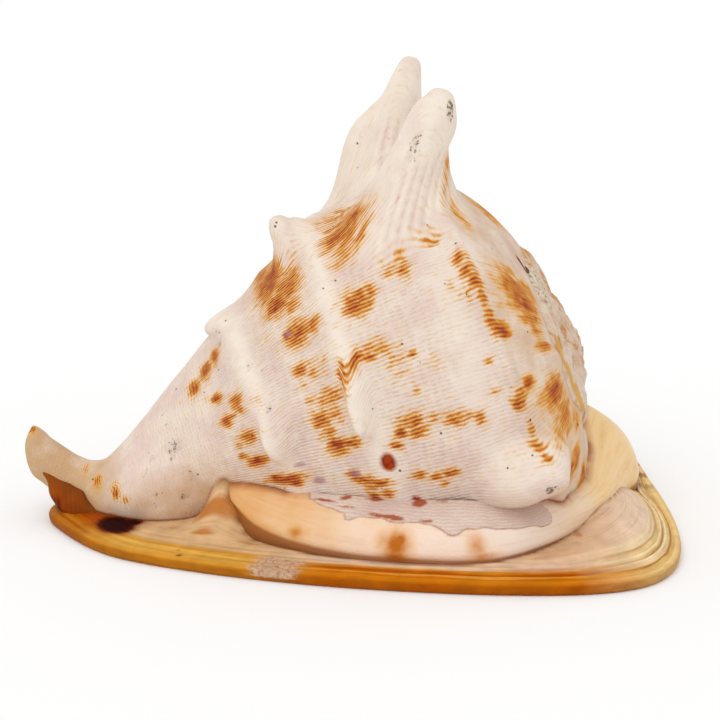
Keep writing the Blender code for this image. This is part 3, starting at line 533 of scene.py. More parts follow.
def near_foot(points, angle, along, foot, tip, height, widths):
    """What a horn or knob needs: nearby points, their offsets and reach, its way and height."""
    centre, round_way, down, normal = foot_of(angle, along)
    offset = points - centre
    reach = np.sqrt((offset @ round_way / widths[0]) ** 2 + (offset @ down / widths[1]) ** 2
                    + (offset @ normal) ** 2)
    way = normal * height if tip is None else np.array(tip) - centre
    height = np.linalg.norm(way)
    return reach < foot, offset, reach, way / height, height


def horn_moves(points):
    """How far each point goes as the skin is drawn out into horns, and how free of a horn it is."""
    moves, free = np.zeros_like(points), np.ones(len(points))
    for angle, along, height, tip_radius, foot, tip, *widths, neck, waist in HORNS:
        near, offset, reach, way, height = near_foot(points, angle, along, foot, tip, height, widths)
        cap = height - 0.8 * tip_radius
        outline = smooth_run([(0, height), (0.5 * tip_radius, height - 0.15 * tip_radius),
                              (0.93 * tip_radius, cap),
                              (neck * tip_radius, min(height - 0.3 * cap, 0.87 * cap)),
                              (waist * tip_radius, 0.42 * height),
                              (0.6 * tip_radius + 0.5 * foot, 0.09 * height), (foot, 0)], [OUTLINE_STEPS] * 6)
        # The skin slides up the outline, from the foot's edge to the middle, which becomes the tip.
        length = np.concatenate([[0], np.cumsum(np.linalg.norm(np.diff(outline, axis=0), axis=1))])
        share = reach[near] / foot
        out = np.interp(share ** TIP_FINENESS * length[-1], length, outline[:, 0])
        up = np.interp(share ** TIP_FINENESS * length[-1], length, outline[:, 1])
        lengthways = (offset[near] @ way)[:, None] * way
        sideways = offset[near] - lengthways
        moves[near] += (sideways * (out / np.maximum(reach[near], 1e-9) - 1.0)[:, None]
                        + lengthways * (ease(share, 0.3, 1.0 if foot > BROAD_FOOT else 0.7) - 1.0)[:, None]
                        + way * up[:, None])
        free[near] = np.minimum(free[near], ease(share, 0.3, 0.8))
    return moves, free[:, None]


def knob_moves(points):
    """How far each point goes as the skin is lifted into low rounded knobs."""
    moves = np.zeros_like(points)
    for angle, along, height, foot, tip, *widths in KNOBS:
        near, offset, reach, way, height = near_foot(points, angle, along, foot, tip, height, widths)
        share = reach[near] / foot
        moves[near] += way * (height * (1.0 - share ** 2.4) ** 2.4)[:, None]
    return moves


def folded_in(points):
    """The points with the hidden underside turned up inside the body, clear of the mouth."""
    x, y, z = points[..., 0], points[..., 1], points[..., 2]
    level = 6.0 + 12.0 * ease(y, 4.0, 26.0) * ease(x, -84.0, -58.0) * (1 - ease(x, 58.0, 80.0))
    points[..., 2] = np.where(z < level, 2 * level - z, z)
    return points


def seam_fade(count):
    """A column that rises from 0 to 1 over the rows next to a seam and stays 1 past them."""
    return np.minimum(np.arange(count) / (SEAM_ROWS - 1), 1.0)[:, None]


def with_ends(points, values, before, after, axis=0):
    """The grid with rows or columns of points put before and after it, where values stay the nearest."""
    points = np.concatenate([np.stack(before, axis), points, np.stack(after, axis)], axis)
    first, last = [0] * len(before), [-1] * len(after)
    return points, {
        key: np.concatenate([np.take(value, first, axis), value, np.take(value, last, axis)], axis)
        for key, value in values.items()}


def last_whorl_grid(sizes):
    """Last whorl and canal, with the coil coordinates of every point."""
    angles = np.linspace(WHORL_FIRST, WHORL_LAST, WHORL_COLUMNS + 1)
    rows = with_cords(profile(angles, True), angles)
    along, radius = rows[..., 0], rows[..., 1]
    around = np.broadcast_to(angles, along.shape)
    plain = placed(along, radius, around)
    flat = plain.reshape(-1, 3)

    # Horns and knobs drawn out of the plain skin.
    drawn_out, free = horn_moves(flat)
    moves = drawn_out + knob_moves(flat) * free
    raised = np.linalg.norm(moves, axis=1).reshape(around.shape)
    points = (flat + moves).reshape(plain.shape)

    # Fine unevenness, the shoulder's ridge on the side of the shield, and the flutes.
    outwards = plain - placed(along, np.zeros_like(radius), around)
    outwards /= np.maximum(np.linalg.norm(outwards, axis=-1), 1e-6)[..., None]
    uneven = 0.45 * rough(plain, 9.0, 1) + 0.25 * rough(plain, 4.0, 2)
    ridge = np.exp(-(((along - shoulder(angles)[0]) / RIDGE_WIDTH) ** 2))
    ridge = ridge * (np.arange(len(rows)) > RIDGE_CLEAR_ROWS)[:, None]
    ridge *= ease(-around, 16.0, 34.0) * (1 - ease(-around, 90.0, 106.0))
    points += outwards * (seam_fade(len(rows)) * uneven + SHOULDER_RIDGE * ridge)[..., None]
    flutes = np.cos(along / FLUTE_SPACING * 2 * math.pi + 3.0 * rough(plain, 14.0, 9))
    flutes *= ease(raised, 1.0, 8.0) * (1 - ease(raised, 24.0, 34.0)) * ease(along, 106.0, 113.0)
    flutes *= ease(around, -84.0, -66.0)
    points[..., :2] += outwards[..., :2] * (millimetres(sizes.flute_depth) * flutes)[..., None]

    # Colour values, then the ends inside the shell, and columns that bring the last one to the first.
    values = {"around": np.radians(around) * NOMINAL_RADIUS, "along": along}
    values.update(back_colouring(around, along, radius, raised, 0.5 - 0.5 * flutes))
    deep, inside = (placed(np.full(len(angles), at), np.zeros(len(angles)), angles) for at in WHORL_ENDS)
    points, values = with_ends(folded_in(points), values, [deep], [inside])
    steps = np.arange(1, CLOSING_COLUMNS + 1) / CLOSING_COLUMNS
    closing = [points[:, -1] * (1 - t) + points[:, 0] * t for t in steps]
    points = np.concatenate([points, np.stack(closing, 1)], 1)
    values = {key: np.concatenate([value, np.repeat(value[:, -1:], CLOSING_COLUMNS, 1)], 1)
              for key, value in values.items()}
    return points, values


def spire_grid():
    """The earlier whorls, of which only the ramp shows."""
    count = SPIRE_TURNS * SPIRE_COLUMNS_PER_TURN
    angles = np.linspace(WHORL_FIRST - 360.0 * SPIRE_TURNS, WHORL_FIRST + 6.0, count + 1)
    rows = profile(angles, False)
    along, radius = rows[..., 0], rows[..., 1]
    around = np.broadcast_to(angles, along.shape)
    points = placed(along, radius, around)
    outwards = points - placed(along, np.zeros_like(radius), around) + 12.0 * AXIS_WAY
    outwards /= np.linalg.norm(outwards, axis=-1)[..., None]
    uneven = 0.7 * rough(points, 5.0, 3) + 0.35 * rough(points, 2.2, 4)
    points += outwards * (seam_fade(len(rows))[::-1] * uneven)[..., None]
    values = {key: blots(around, along, marks)
              for key, marks in (("chip", SPIRE_CHIPS), ("callus", SPIRE_CALLUS), ("pit", SPIRE_PITS))}
    inner_rows = np.exp(-((np.arange(len(rows)) / SUTURE_ROWS) ** 2))
    values["suture"] = np.broadcast_to(inner_rows[:, None], around.shape)
    start, under, deep = (placed(along[row] - down, radius[row] * wide, angles)
                          for row, down, wide in ((0, 8.0, 0.0), (-1, 6.0, 0.8), (-1, 14.0, 0.0)))
    return with_ends(points, values, [start], [under, deep])


def blots(across, along, marks, crispness=2, falloff=0.28):
    """Strength of soft-edged marks at points: the strongest of them wins."""
    value = np.zeros(np.shape(across))
    for at_across, at_along, half_across, half_along, strength in marks:
        share = ((across - at_across) / half_across) ** 2 + ((along - at_along) / half_along) ** 2
        value = np.maximum(value, strength * np.exp(-falloff * share ** crispness))
    return value


def stain_lines(angles, along):
    """1 on the thin stain lines, fading beside them."""
    here = np.stack([angles, along], -1)
    near = np.full(np.shape(along), 1e9)
    for line in STAIN_LINES:
        for start, end in zip(np.array(line, float), np.array(line[1:], float)):
            way = end - start
            t = np.clip((here - start) @ way / (way @ way), 0.0, 1.0)
            near = np.minimum(near, np.linalg.norm(here - start - t[..., None] * way, axis=-1))
    return np.exp(-((near / STAIN_LINE_HALF) ** 2))


def hidden_marks():
    """Marks for the sides that the photograph doesn't show, in the same belts as the seen ones."""
    draw = np.random.default_rng(11)
    marks = []
    for belt, step in STAIN_BELTS:
        for first, last in ((WHORL_FIRST, -122.0), (12.0, WHORL_LAST)):
            for angle in np.arange(first, last, step):
                marks.append((angle + draw.uniform(-0.3, 0.3) * step, belt + draw.uniform(-5.0, 5.0),
                              draw.uniform(1.6, 4.4), draw.uniform(2.0, 5.5), draw.uniform(0.45, 0.95)))
    return marks


def back_colouring(angles, along, radius, raised, flutes):
    """The colour values of the back: stains, dark and mauve ovals, specks, ivory and tan."""
    shoulder_along, shoulder_radius = shoulder(angles[0])
    flank = (np.arange(len(along)) >= SHOULDER_ROW)[:, None]
    outwards = np.where(flank, shoulder_radius + shoulder_along - along, radius)
    below_shoulder = outwards - shoulder_radius

    # Stains fade on the horns, and on the small horn's foot.
    stain = np.maximum(blots(angles, along, STAINS, 1, 0.46), blots(angles, outwards, RAMP_STAINS, 1, 0.55))
    hidden = blots(angles, along, hidden_marks(), 1, 0.7) * (1 - 0.85 * ease(raised, 4.0, 11.0))
    stain = np.maximum(np.maximum(stain, hidden), 0.8 * stain_lines(angles, along))
    stain = stain + 0.2 * ease(stain, 0.98, 1.12)
    stain = stain * (1 - 0.9 * ease(raised, 13.0, 24.0))
    stain = stain * (1 - 0.85 * ease(raised, 2.5, 7.0) * ease(-along, -94.0, -88.0) * ease(along, 66.0, 72.0))

    # Ivory: horns and knobs outside their flutes, the first two cords, and a belt below the shoulder, which
    # is partly worn and partly a painted highlight along the shoulder's edge.
    raised = raised * ease(along, 34.0, 44.0)
    ivory = 0.95 * ease(raised, 1.5, 7.5) * (1 - 0.75 * flutes * (1 - ease(raised, 20.0, 30.0)))
    for at_top, at_side, _, half in CORDS[:2]:
        off = (along - 1.5 - cord_middle(at_top, at_side, angles)) / (0.75 * half)
        ivory = np.maximum(ivory, 0.95 * on_flank(along, radius) * np.exp(-(off ** 2)))
    ivory = np.maximum(ivory, 0.55 * np.exp(-(((along - 134.0) / 8.0) ** 2)))
    ivory = ivory * (1 - 0.7 * np.minimum(stain, 1.0))

    # Tan: the canal, the belly's lower end, and the ramp. On the belly's lower end, which faces down, the tan
    # is partly painted shade, and on the ramp above the shoulder it is partly its own pinker tone and partly
    # painted shade of the ramp, which faces away to the right.
    tan = (1.0 - ease(along, -10.0, 16.0)) * (0.75 + 0.25 * ease(-angles, 20.0, 70.0))
    tan = np.maximum(tan, 0.6 * (1.0 - ease(along, 30.0, 70.0)) * ease(-angles, 50.0, 100.0))
    tan = np.maximum(tan, 0.45 * (1 - ease(below_shoulder, -6.0, 6.0)) * (1 - ease(raised, 2.0, 9.0)))
    trough = np.clip(2.0 * flutes - 1.0, 0.0, 1.0)
    return {"stain": stain, "dark": blots(angles, along, OVALS),
            "mauve": np.maximum(blots(angles, along, MAUVES), 0.24 * trough), "ivory": ivory, "tan": tan,
            "canal": 1.0 - ease(along, 8.0, 66.0), "speck": blots(angles, along, SPECKLED) * flank,
            "smear": 1.0 - ease(below_shoulder, -5.0, 1.0)}


# Base

def rim_halves():
    """The rim as evenly spaced points: the shield side, then back along the outer lip side."""
    points = np.asarray(RIM, float)
    wrapped = np.vstack([points[-2:], points, points[:3]])
    fine = smooth_run(wrapped, [PLAN_STEPS] * (len(wrapped) - 1))
    fine = fine[2 * PLAN_STEPS:PLAN_STEPS * (len(points) + 2) + 1]
    turn = int(np.argmin(np.linalg.norm(fine - np.array(RIM_TURN), axis=1)))
    return evenly(fine[:turn + 1], RIM_SIDE_COLUMNS), evenly(fine[turn:], RIM_SIDE_COLUMNS)


def mouth_row(widen, teeth_out):
    """One loop round the mouth, in step with the rim's points, as plan points."""
    line = evenly(smooth_run(MOUTH, [PLAN_STEPS] * (len(MOUTH) - 1)), RIM_SIDE_COLUMNS)
    centre, half = line[:, :2], line[:, 2]
    way = np.gradient(centre, axis=0)
    way /= np.linalg.norm(way, axis=1)[:, None]
    side = np.stack([-way[:, 1], way[:, 0]], -1)
    u = np.linspace(0.0, 1.0, len(line))
    round_off = np.sqrt(np.maximum(1 - np.abs(2 * u - 1) ** 6, 0.0))
    ridge = np.cos(math.pi * MOUTH_TEETH * u) ** 2 * ease(u, 0.16, 0.34) * ease(1 - u, 0.08, 0.26)
    near = centre - side * (half * widen * round_off - 0.35 * teeth_out * ridge * round_off)[:, None]
    far = centre + side * (half * widen * round_off - 0.6 * teeth_out * ridge * round_off)[:, None]
    return np.concatenate([near, far[::-1][1:]]), np.concatenate([ridge, ridge[::-1][1:]]), u


def dish(plan):
    """Height of the underside above the rest plane."""
    share = ((plan - np.array(DISH_CENTRE)) / np.array(DISH_HALF)) ** 2
    return DISH_DEPTH * np.clip(1.0 - share.sum(-1), 0.0, None) ** 1.2


def shield_grid(sizes):
    """The base from the mouth's roof over its lips, underside and rim to its core, in closed loops."""
    first, second = rim_halves()
    rim = np.concatenate([first, second[1:]])
    arc = np.concatenate([[0.0], np.cumsum(np.linalg.norm(np.diff(rim, axis=0), axis=1))])
    off = (rim - np.array(CORE_CENTRE)) / np.array(CORE_BEARING)
    bearing = np.arctan2(off[:, 1], off[:, 0])
    bearing = np.stack([np.cos(bearing), np.sin(bearing)], -1)
    inward = np.array(CORE_CENTRE) + np.array(CORE_HALF) * bearing - rim
    span = np.linalg.norm(inward, axis=1)
    inward /= span[:, None]
    lip = ease(rim[:, 1], 20, 62) * (1 - 0.85 * ease(rim[:, 0], 60, 104))
    canal_end = ease(-rim[:, 0], 88, 106)
    spire_end = ease(rim[:, 0], 84, 106)
    climb = SHIELD_CLIMB * np.exp(-(((rim[:, 0] - CLIMB_AT) / 10.0) ** 2)) * (rim[:, 1] < -10.0)
    loops = []

    def loop(plan, height, into, under=0.0, tooth=0.0):
        """Adds a loop of points, with how far in from the rim it counts."""
        loops.append([np.broadcast_to(value, len(rim)) for value in (*plan.T, height, into, under, tooth)])

    # Mouth, from its roof down to its toothed lips. It is shallow towards its ends.
    edge, ridge, u = mouth_row(1.0, MOUTH_TOOTH)
    depth = 0.12 + 0.88 * ease(u, 0.1, 0.42) * ease(1 - u, 0.1, 0.5)
    depth = np.concatenate([depth, depth[::-1][1:]])
    for level, widen in MOUTH_LEVELS[::-1]:
        plan = mouth_row(widen, MOUTH_TOOTH * float(ease(-level, -14.0, -5.0)))[0]
        loop(plan, MOUTH_LIPS_AT + (level - MOUTH_LIPS_AT) * depth, -60.0 - level, 1.0,
             0.12 + 0.5 * ridge * float(ease(-level, -9.0, -3.0)))

    # Underside, from the teeth out to the rest face and the rim's edge.
    inner = rim + inward * 4.0
    for share in np.linspace(0.0, 1.0, 40)[1:-1] ** 1.4:
        plan = edge + (inner - edge) * share
        away = np.linalg.norm(plan - edge, axis=1)
        height = dish(plan) + 0.4
        height += (MOUTH_LIPS_AT - height) * np.exp(-((away / 2.2) ** 2))
        height -= 1.5 * ridge * np.exp(-(((away - 3.0) / 5.0) ** 2))
        height *= ease(1.0 - share, 0.0, 0.12)
        loop(plan, np.maximum(height, 0.0), -4.0 - np.linalg.norm(inner - plan, axis=1), 1.0,
             (0.12 + 0.88 * ridge) * np.exp(-((away / 9.0) ** 2)))
    for reach, height in ((4.0, 0.0), (2.4, 0.0), (1.2, 0.0), (0.6, 0.25), (0.25, 0.9)):
        loop(rim + inward * reach, height, -reach, 1.0 if height == 0.0 else 0.0)
    loop(rim + inward * 0.05, 1.8 + 1.5 * lip, 0.0)
    loop(rim, 2.6 + 4.0 * lip, 0.0)

    # Upper side: the stepped shield, or the rolled outer lip, up to the core inside the shell.
    wander = rough(np.column_stack([rim, np.zeros(len(rim))]), 26.0, 5)
    crisp = 0.4 + 0.5 * ease(rim[:, 0], -50.0, 50.0) + 1.1 * ease(rim[:, 0], 60.0, 96.0)
    lip_thick = millimetres(sizes.outer_lip_thickness)
    for reach in SHIELD_REACHES:
        thin = millimetres(sizes.shield_thickness) + SHIELD_SLOPE * reach + np.zeros(len(rim))
        thin -= 0.9 * max(0.0, 1 - reach / 1.6) ** 2
        for n, at in enumerate(SHIELD_STEPS):
            at = at + 0.7 * wander * (1 + 0.2 * n)
            thin += SHIELD_STEP_RISE * crisp * ease(reach, at - 0.5, at + 0.5)
            thin -= 0.3 * crisp * np.exp(-(((reach - at + 0.7) / 0.5) ** 2))
        if reach < LIP_ROLL:
            roll = 6.0 + (lip_thick - 6.0) * math.sqrt(1 - (1 - reach / LIP_ROLL) ** 2)
        else:
            roll = lip_thick + 0.35 * (reach - LIP_ROLL)
        height = (thin * (1 - lip) + roll * lip + canal_end * 0.05 * min(reach, 14.0)
                  + spire_end * SPIRE_MOUND * ease(reach, 13.0, 34.0) + climb * ease(reach, 14.0, 46.0))
        loop(rim + inward * np.minimum(reach, span)[:, None], height, reach)
    centre, half, top = CORE_TOP
    for share in (1.0, 0.0):
        loop(np.array(centre) + share * np.array(half) * bearing, top, 60.0)

    table = np.array(loops)
    into, under, tooth = table[:, 3], table[:, 4], table[:, 5]
    arcs = np.broadcast_to(arc, into.shape)
    upper = into >= 0.0
    values = {"arc": arcs, "into": into, "under": under, "tooth": tooth,
              "spot": blots(arcs, into, SHIELD_SPOTS, 1, 0.5) * upper,
              "chip": blots(arcs, into, SHIELD_CHIPS) * upper,
              "crescent": blots(arcs, into, SHIELD_CRESCENTS) * upper}
    return np.moveaxis(table[:, :3], 1, -1), values


def fold_grid():
    """The fold that joins the base to the underside of the canal, as a flattened tube."""
    line = smooth_run(FOLD_LINE, [12] * (len(FOLD_LINE) - 1))
    centre, half_wide, half_thick = line[:, :3], line[:, 3], line[:, 4]
    way = np.gradient(centre, axis=0)
    way /= np.linalg.norm(way, axis=1)[:, None]
    out = np.cross(way, ACROSS)
    rows = []
    for turn in np.linspace(0.0, 2 * math.pi, FOLD_ROWS + 1):
        rows.append(centre + (half_wide * math.cos(turn))[:, None] * ACROSS
                    + (half_thick * math.sin(turn))[:, None] * out)
    points = np.array(rows)
    points[-1] = points[0]
    ends = [np.broadcast_to(points[:-1, i].mean(axis=0), points[:, 0].shape) for i in (0, -1)]
    points = with_ends(points, {}, ends[:1], ends[1:], 1)[0]
    points += (0.5 * rough(points, 4.0, 7))[..., None] * np.array([-1.0, 0.0, 0.0])
    x, y, z = points[..., 0], points[..., 1], points[..., 2]
    values = {key: np.zeros(x.shape) for key in ("under", "tooth", "chip", "crescent")}
    values.update(spot=0.5 * ease(-x, 104.0, 107.5) * ease(-z, -14.0, -8.0), arc=8.0 + 0.3 * y,
                  into=5.5 + 1.2 * (x + 112.0) + 0.1 * z)
    return points, values


# Former lip

def former_lip_grid():
    """The former lip as a closed tube of sections that bulge up and outwards, rows along it."""
    counts = [LIP_STEPS] * (len(LIP_OUTER) - 1)
    outer, inner, bulge = (smooth_run(np.array(run, float).reshape(len(run), -1), counts)
                           for run in (LIP_OUTER, LIP_INNER, LIP_BULGE))
    way = inner - outer
    flat = np.linalg.norm(way[:, :2], axis=1)[:, None]
    outwards = np.column_stack([-way[:, :2] / flat * way[:, 2:], flat])
    outwards /= np.linalg.norm(outwards, axis=1)[:, None]
    arc = np.concatenate([[0.0], np.cumsum(np.linalg.norm(np.diff(outer, axis=0), axis=1))])
    foot = np.column_stack([outer[:, :2], np.full(len(outer), LIP_FOOT)])
    heel = inner + LIP_REACH_IN * way
    heel[:, 2] = LIP_FOOT
    shares = np.linspace(0.0, 1.0, LIP_ROWS)
    rows = [foot]
    for share in shares:
        ledge = 1.3 * (1 - (1 - min(share / 0.08, 1.0)) ** 2) * (1 - float(ease(share, 0.2, 0.9)))
        row = outer + way * share + outwards * (bulge * 4.0 * share * (1.0 - share) + ledge)
        rows.append(row + outwards * (0.35 * rough(row, 12.0, 6))[:, None])
    points = np.array(rows + [heel, foot])
    across = np.concatenate([[-0.1], shares, [1.2, -0.1]])[:, None] * np.ones(len(outer))
    arcs = np.broadcast_to(arc, across.shape)

    # The newer layer, raised where it laps over the roll.
    reached = through_knots(arc, LIP_LAP) + 0.03 * rough(outer, 3.5, 8)
    callus = ease(across - reached, -0.02, 0.03) * (across <= 1.0)
    points += (LIP_TONGUE_RISE * callus)[..., None] * outwards

    # Both ends shrink towards a point inside.
    share = arc / arc[-1]
    sink = (1 - np.sqrt(ease(share, 0.0, LIP_TAPER[0]))) + (1 - np.sqrt(ease(1 - share, 0.0, LIP_TAPER[1])))
    anchor = points.mean(axis=0) - [0.0, 0.0, 4.0]
    points += (anchor - points) * (0.9 * sink)[:, None]
    middle = points.mean(axis=0)
    ends = [np.broadcast_to(middle[i], points[:, 0].shape) for i in (0, -1)]
    return with_ends(points, {
        "arc": arcs, "across": across, "spot": blots(arcs, across, LIP_SPOTS, 1, 0.7), "callus": callus,
        "stain": blots(arcs, across, LAP_STAINS, 1, 0.55) * callus}, ends[:1], ends[1:], 1)


# Meshes

def piece(name, grid, values, material):
    """A grid primitive bent to the points, welded shut, with its faces turned outwards."""
    rows, columns = grid.shape[:2]
    bm = bmesh.new()
    layers = {key: bm.verts.layers.float.new(key) for key in values}
    bmesh.ops.create_grid(bm, x_segments=columns - 1, y_segments=rows - 1, size=1.0)
    points = ((grid + CENTRING) * MM).tolist()
    tables = [(layers[key], value.tolist()) for key, value in values.items()]
    for vertex in bm.verts:
        row = round((vertex.co.y + 1.0) * 0.5 * (rows - 1))
        column = round((vertex.co.x + 1.0) * 0.5 * (columns - 1))
        vertex.co = points[row][column]
        for layer, table in tables:
            vertex[layer] = table[row][column]
    bmesh.ops.remove_doubles(bm, verts=bm.verts[:], dist=WELD_WITHIN)
    bmesh.ops.dissolve_degenerate(bm, edges=bm.edges[:], dist=NO_LENGTH)
    bmesh.ops.holes_fill(bm, edges=[edge for edge in bm.edges if edge.is_boundary], sides=0)
    bmesh.ops.recalc_face_normals(bm, faces=bm.faces[:])
    for face in bm.faces:
        face.smooth = True
    mesh = bpy.data.meshes.new(name)
    bm.to_mesh(mesh)
    bm.free()
    mesh.materials.append(material)
    made = bpy.data.objects.new(name, mesh)
    bpy.context.scene.collection.objects.link(made)
    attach(made, "root")
    return made


def mark_creases(made, others, lapped=None):
    """Writes how near each vertex lies to the other pieces, for their painted contact shade: 1 where they
    touch, 0 past its reach.
    """
    reach = CONTACT_SHADE_REACH[made.name] * MM
    meshes = [other.data for other in others]
    trees = [BVHTree.FromPolygons([v.co for v in mesh.vertices], [p.vertices for p in mesh.polygons])
             for mesh in meshes]
    near = []
    for vertex in made.data.vertices:
        gaps = [tree.find_nearest(vertex.co, reach)[3] for tree in trees]
        gaps = [gap for gap in gaps if gap is not None]
        x, y, z = np.array(vertex.co) / MM - CENTRING
        hidden = lapped and lapped[0] < x < lapped[1] and y < lapped[2] and z > lapped[3]
        near.append(1.0 - min(gaps) / reach if gaps and not hidden else 0.0)
    made.data.attributes.new("crease", "FLOAT", "POINT").data.foreach_set("value", near)


# Colours and materials

def linear(colour):
    """A hex sRGB colour as linear RGBA."""
    channels = [int(colour[i:i + 2], 16) / 255.0 for i in (1, 3, 5)]
    return [c / 12.92 if c <= 0.04045 else ((c + 0.055) / 1.055) ** 2.4 for c in channels] + [1.0]


def live(value):
    """A node's first live output, and anything else as it is."""
    if isinstance(value, bpy.types.Node):
        return next(out for out in value.outputs if out.enabled)
    return value


def add_node(tree, kind, inputs=None, stops=(), **settings):
    """Adds a shader node with its settings, its links or values, and its colour stops.

    Inputs go by name or by place, such as 0 to 2 of Math, and 0 for the share and 6 and 7 for the
    colours of Mix. A node given as an input stands for its first live output.
    """
    made = tree.nodes.new("ShaderNode" + kind)
    for key, value in settings.items():
        setattr(made, key, value)
    for key, value in (inputs or {}).items():
        value = live(value)
        if isinstance(value, bpy.types.NodeSocket):
            tree.links.new(value, made.inputs[key])
        else:
            made.inputs[key].default_value = linear(value) if isinstance(value, str) else value
    if stops:
        ramp = made.color_ramp
        while len(ramp.elements) < len(stops):
            ramp.elements.new(1.0)
        for element, (position, colour) in zip(ramp.elements, stops):
            element.position, element.color = position, linear(colour)
    return made


def new_material(name, roughness, specular, keys=()):
    """An empty material, its function that adds a node, its surface, and the piece's named values."""
    material = bpy.data.materials.new(name)
    material.use_nodes = True
    add = functools.partial(add_node, material.node_tree)
    surface = material.node_tree.nodes["Principled BSDF"]
    surface.inputs["Roughness"].default_value = roughness
    surface.inputs["Specular IOR Level"].default_value = specular
    return material, add, surface, {key: add("Attribute", attribute_name=key).outputs["Fac"] for key in keys}


def in_millimetres(add):
    """The piece's own coordinates in millimetres."""
    return add("VectorMath", {0: add("TexCoord").outputs["Object"], "Scale": 1.0 / MM}, operation="SCALE")


def broken_mark(add, noise, weight, value, low, high, most=1.0):
    """How strongly a mark shows: its soft value, with its edge broken up by a noise."""
    edge = add("Math", {0: noise, 1: weight, 2: value}, operation="MULTIPLY_ADD")
    return add("MapRange", {"Value": edge, "From Min": low, "From Max": high, "To Max": most})


def dress(surface, add, colour, relief, depth, strength=1.0):
    """Gives the surface its colour, and its relief as bump of a depth in metres."""
    bump = add("Bump", {"Height": relief, "Strength": strength, "Distance": depth})
    surface.id_data.links.new(live(colour), surface.inputs["Base Color"])
    surface.id_data.links.new(live(bump), surface.inputs["Normal"])


def sea_worn_shell_back(colours, sizes):
    """Shell back, worn matt by the sea: cream to mauve ground, fine growth lines, broken rusty stains."""
    material, add, surface, value = new_material("sea_worn_shell_back", 0.52, 0.04, (
        "around", "along", "stain", "dark", "mauve", "ivory", "tan", "canal", "speck", "smear", "crease"))
    place = add("CombineXYZ", {0: value["around"], 1: value["along"]})
    body = in_millimetres(add)

    # Growth lines: wavy grooves along the coil's axis that turn to run round the canal. The finest
    # real ones are left out, as the render is too coarse to show them.
    scale = WAVE_UNIT / (sizes.growth_line_spacing / MM)
    lines = add("TexWave", {"Vector": place, "Scale": scale, "Distortion": 4.0, "Detail": 4.0,
                            "Detail Scale": 1.2, "Detail Roughness": 0.75}, bands_direction="X")
    canal_lines = add("TexWave", {"Vector": place, "Scale": scale, "Distortion": 9.0, "Detail": 2.0,
                                  "Detail Scale": 0.4, "Detail Roughness": 0.6}, bands_direction="Y")
    unevenness = add("TexNoise", {"Vector": body, "Scale": 0.07, "Detail": 3.0})
    turning = add("Math", {0: unevenness, 1: 24.0, 2: value["along"]}, operation="MULTIPLY_ADD")
    canal = add("MapRange", {"Value": turning, "From Min": 60.0, "From Max": 44.0})
    wave = add("Mix", {0: canal, 6: lines, 7: canal_lines}, data_type="RGBA")
    blurred = add("Math", {0: value["smear"], 1: 0.7}, operation="MULTIPLY")
    wave = add("Mix", {0: blurred, 6: wave, 7: (0.45, 0.45, 0.45, 1.0)}, data_type="RGBA")
    ribs = add("TexWave", {"Vector": place, "Scale": WAVE_UNIT / RIB_SPACING, "Distortion": 7.0,
                           "Detail": 3.0, "Detail Scale": 0.6}, bands_direction="Y")
    netted = add("MapRange", {"Value": ribs, "From Min": 0.3, "From Max": 0.85, "To Min": 1.0,
                              "To Max": 0.25})
    dashes = add("VectorMath", {0: place, 1: (0.9, 0.22, 1.0)}, operation="MULTIPLY")
    dashes = add("TexNoise", {"Vector": dashes, "Scale": 1.0, "Detail": 2.0})
    dashes = add("MapRange", {"Value": dashes, "From Min": 0.4, "From Max": 0.56, "To Min": FAINTEST_DASH,
                              "To Max": DEEPEST_DASH})
    netted = add("Math", {0: netted, 1: dashes}, operation="MULTIPLY")

    # Ground: cream on the heights, dull mauve pink between them, tan towards the canal, and ivory
    # where it is worn bare. The grooves are darker, least of all where the shell is worn.
    patches = add("TexNoise", {"Vector": body, "Scale": 0.085, "Detail": 4.0, "Roughness": 0.6})
    colour = add("ValToRGB", {0: patches}, ((0.36, colours.cream), (0.62, colours.mauve_pink)))
    tan = add("Math", {0: value["tan"], 1: patches}, operation="MULTIPLY")
    tan = add("MapRange", {"Value": tan, "From Min": 0.08, "From Max": 0.46})
    worn = add("Math", {0: value["ivory"], 1: -0.8, 2: 1.0}, operation="MULTIPLY_ADD")
    smooth = add("Math", {0: value["canal"], 1: -0.62, 2: 1.0}, operation="MULTIPLY_ADD")
    worn = add("Math", {0: worn, 1: smooth}, operation="MULTIPLY")
    grooves = add("MapRange", {"Value": wave, "From Min": 0.7, "From Max": 0.1, "To Max": 0.4})
    grooves = add("Math", {0: grooves, 1: netted}, operation="MULTIPLY")
    grooves = add("Math", {0: grooves, 1: worn}, operation="MULTIPLY")
    bare = add("TexNoise", {"Vector": body, "Scale": 0.12, "Detail": 2.0})
    bare = add("MapRange", {"Value": bare, "From Min": 0.36, "From Max": 0.62, "To Min": 0.5, "To Max": 1.0})
    bare = add("Math", {0: bare, 1: value["ivory"]}, operation="MULTIPLY")

    # Stains: deepest in the grooves, broken up across them by weak ribs and left off the crests.
    cells = add("VectorMath", {0: place, 1: (0.55, 0.30, 1.0)}, operation="MULTIPLY")
    breaks = add("TexNoise", {"Vector": cells, "Scale": 1.0, "Detail": 1.0})
    edges = add("TexNoise", {"Vector": body, "Scale": 0.30, "Detail": 3.0})
    soft = add("Math", {0: breaks, 1: 0.75, 2: value["stain"]}, operation="MULTIPLY_ADD")
    soft = add("Math", {0: edges, 1: 0.55, 2: soft}, operation="MULTIPLY_ADD")
    washed = broken_mark(add, wave, -0.26, soft, 0.62, 1.1, 0.95)
    depth = add("Math", {0: wave, 1: -0.46, 2: soft}, operation="MULTIPLY_ADD")
    depth = add("Math", {0: depth, 1: 0.5}, operation="SUBTRACT")
    rust = add("ValToRGB", {0: depth}, ((0.05, "#E8CEA8"), (0.33, "#E0AA5A"), (0.58, colours.rust),
                                        (0.8, "#B65A04"), (1.0, colours.dark_stain)))

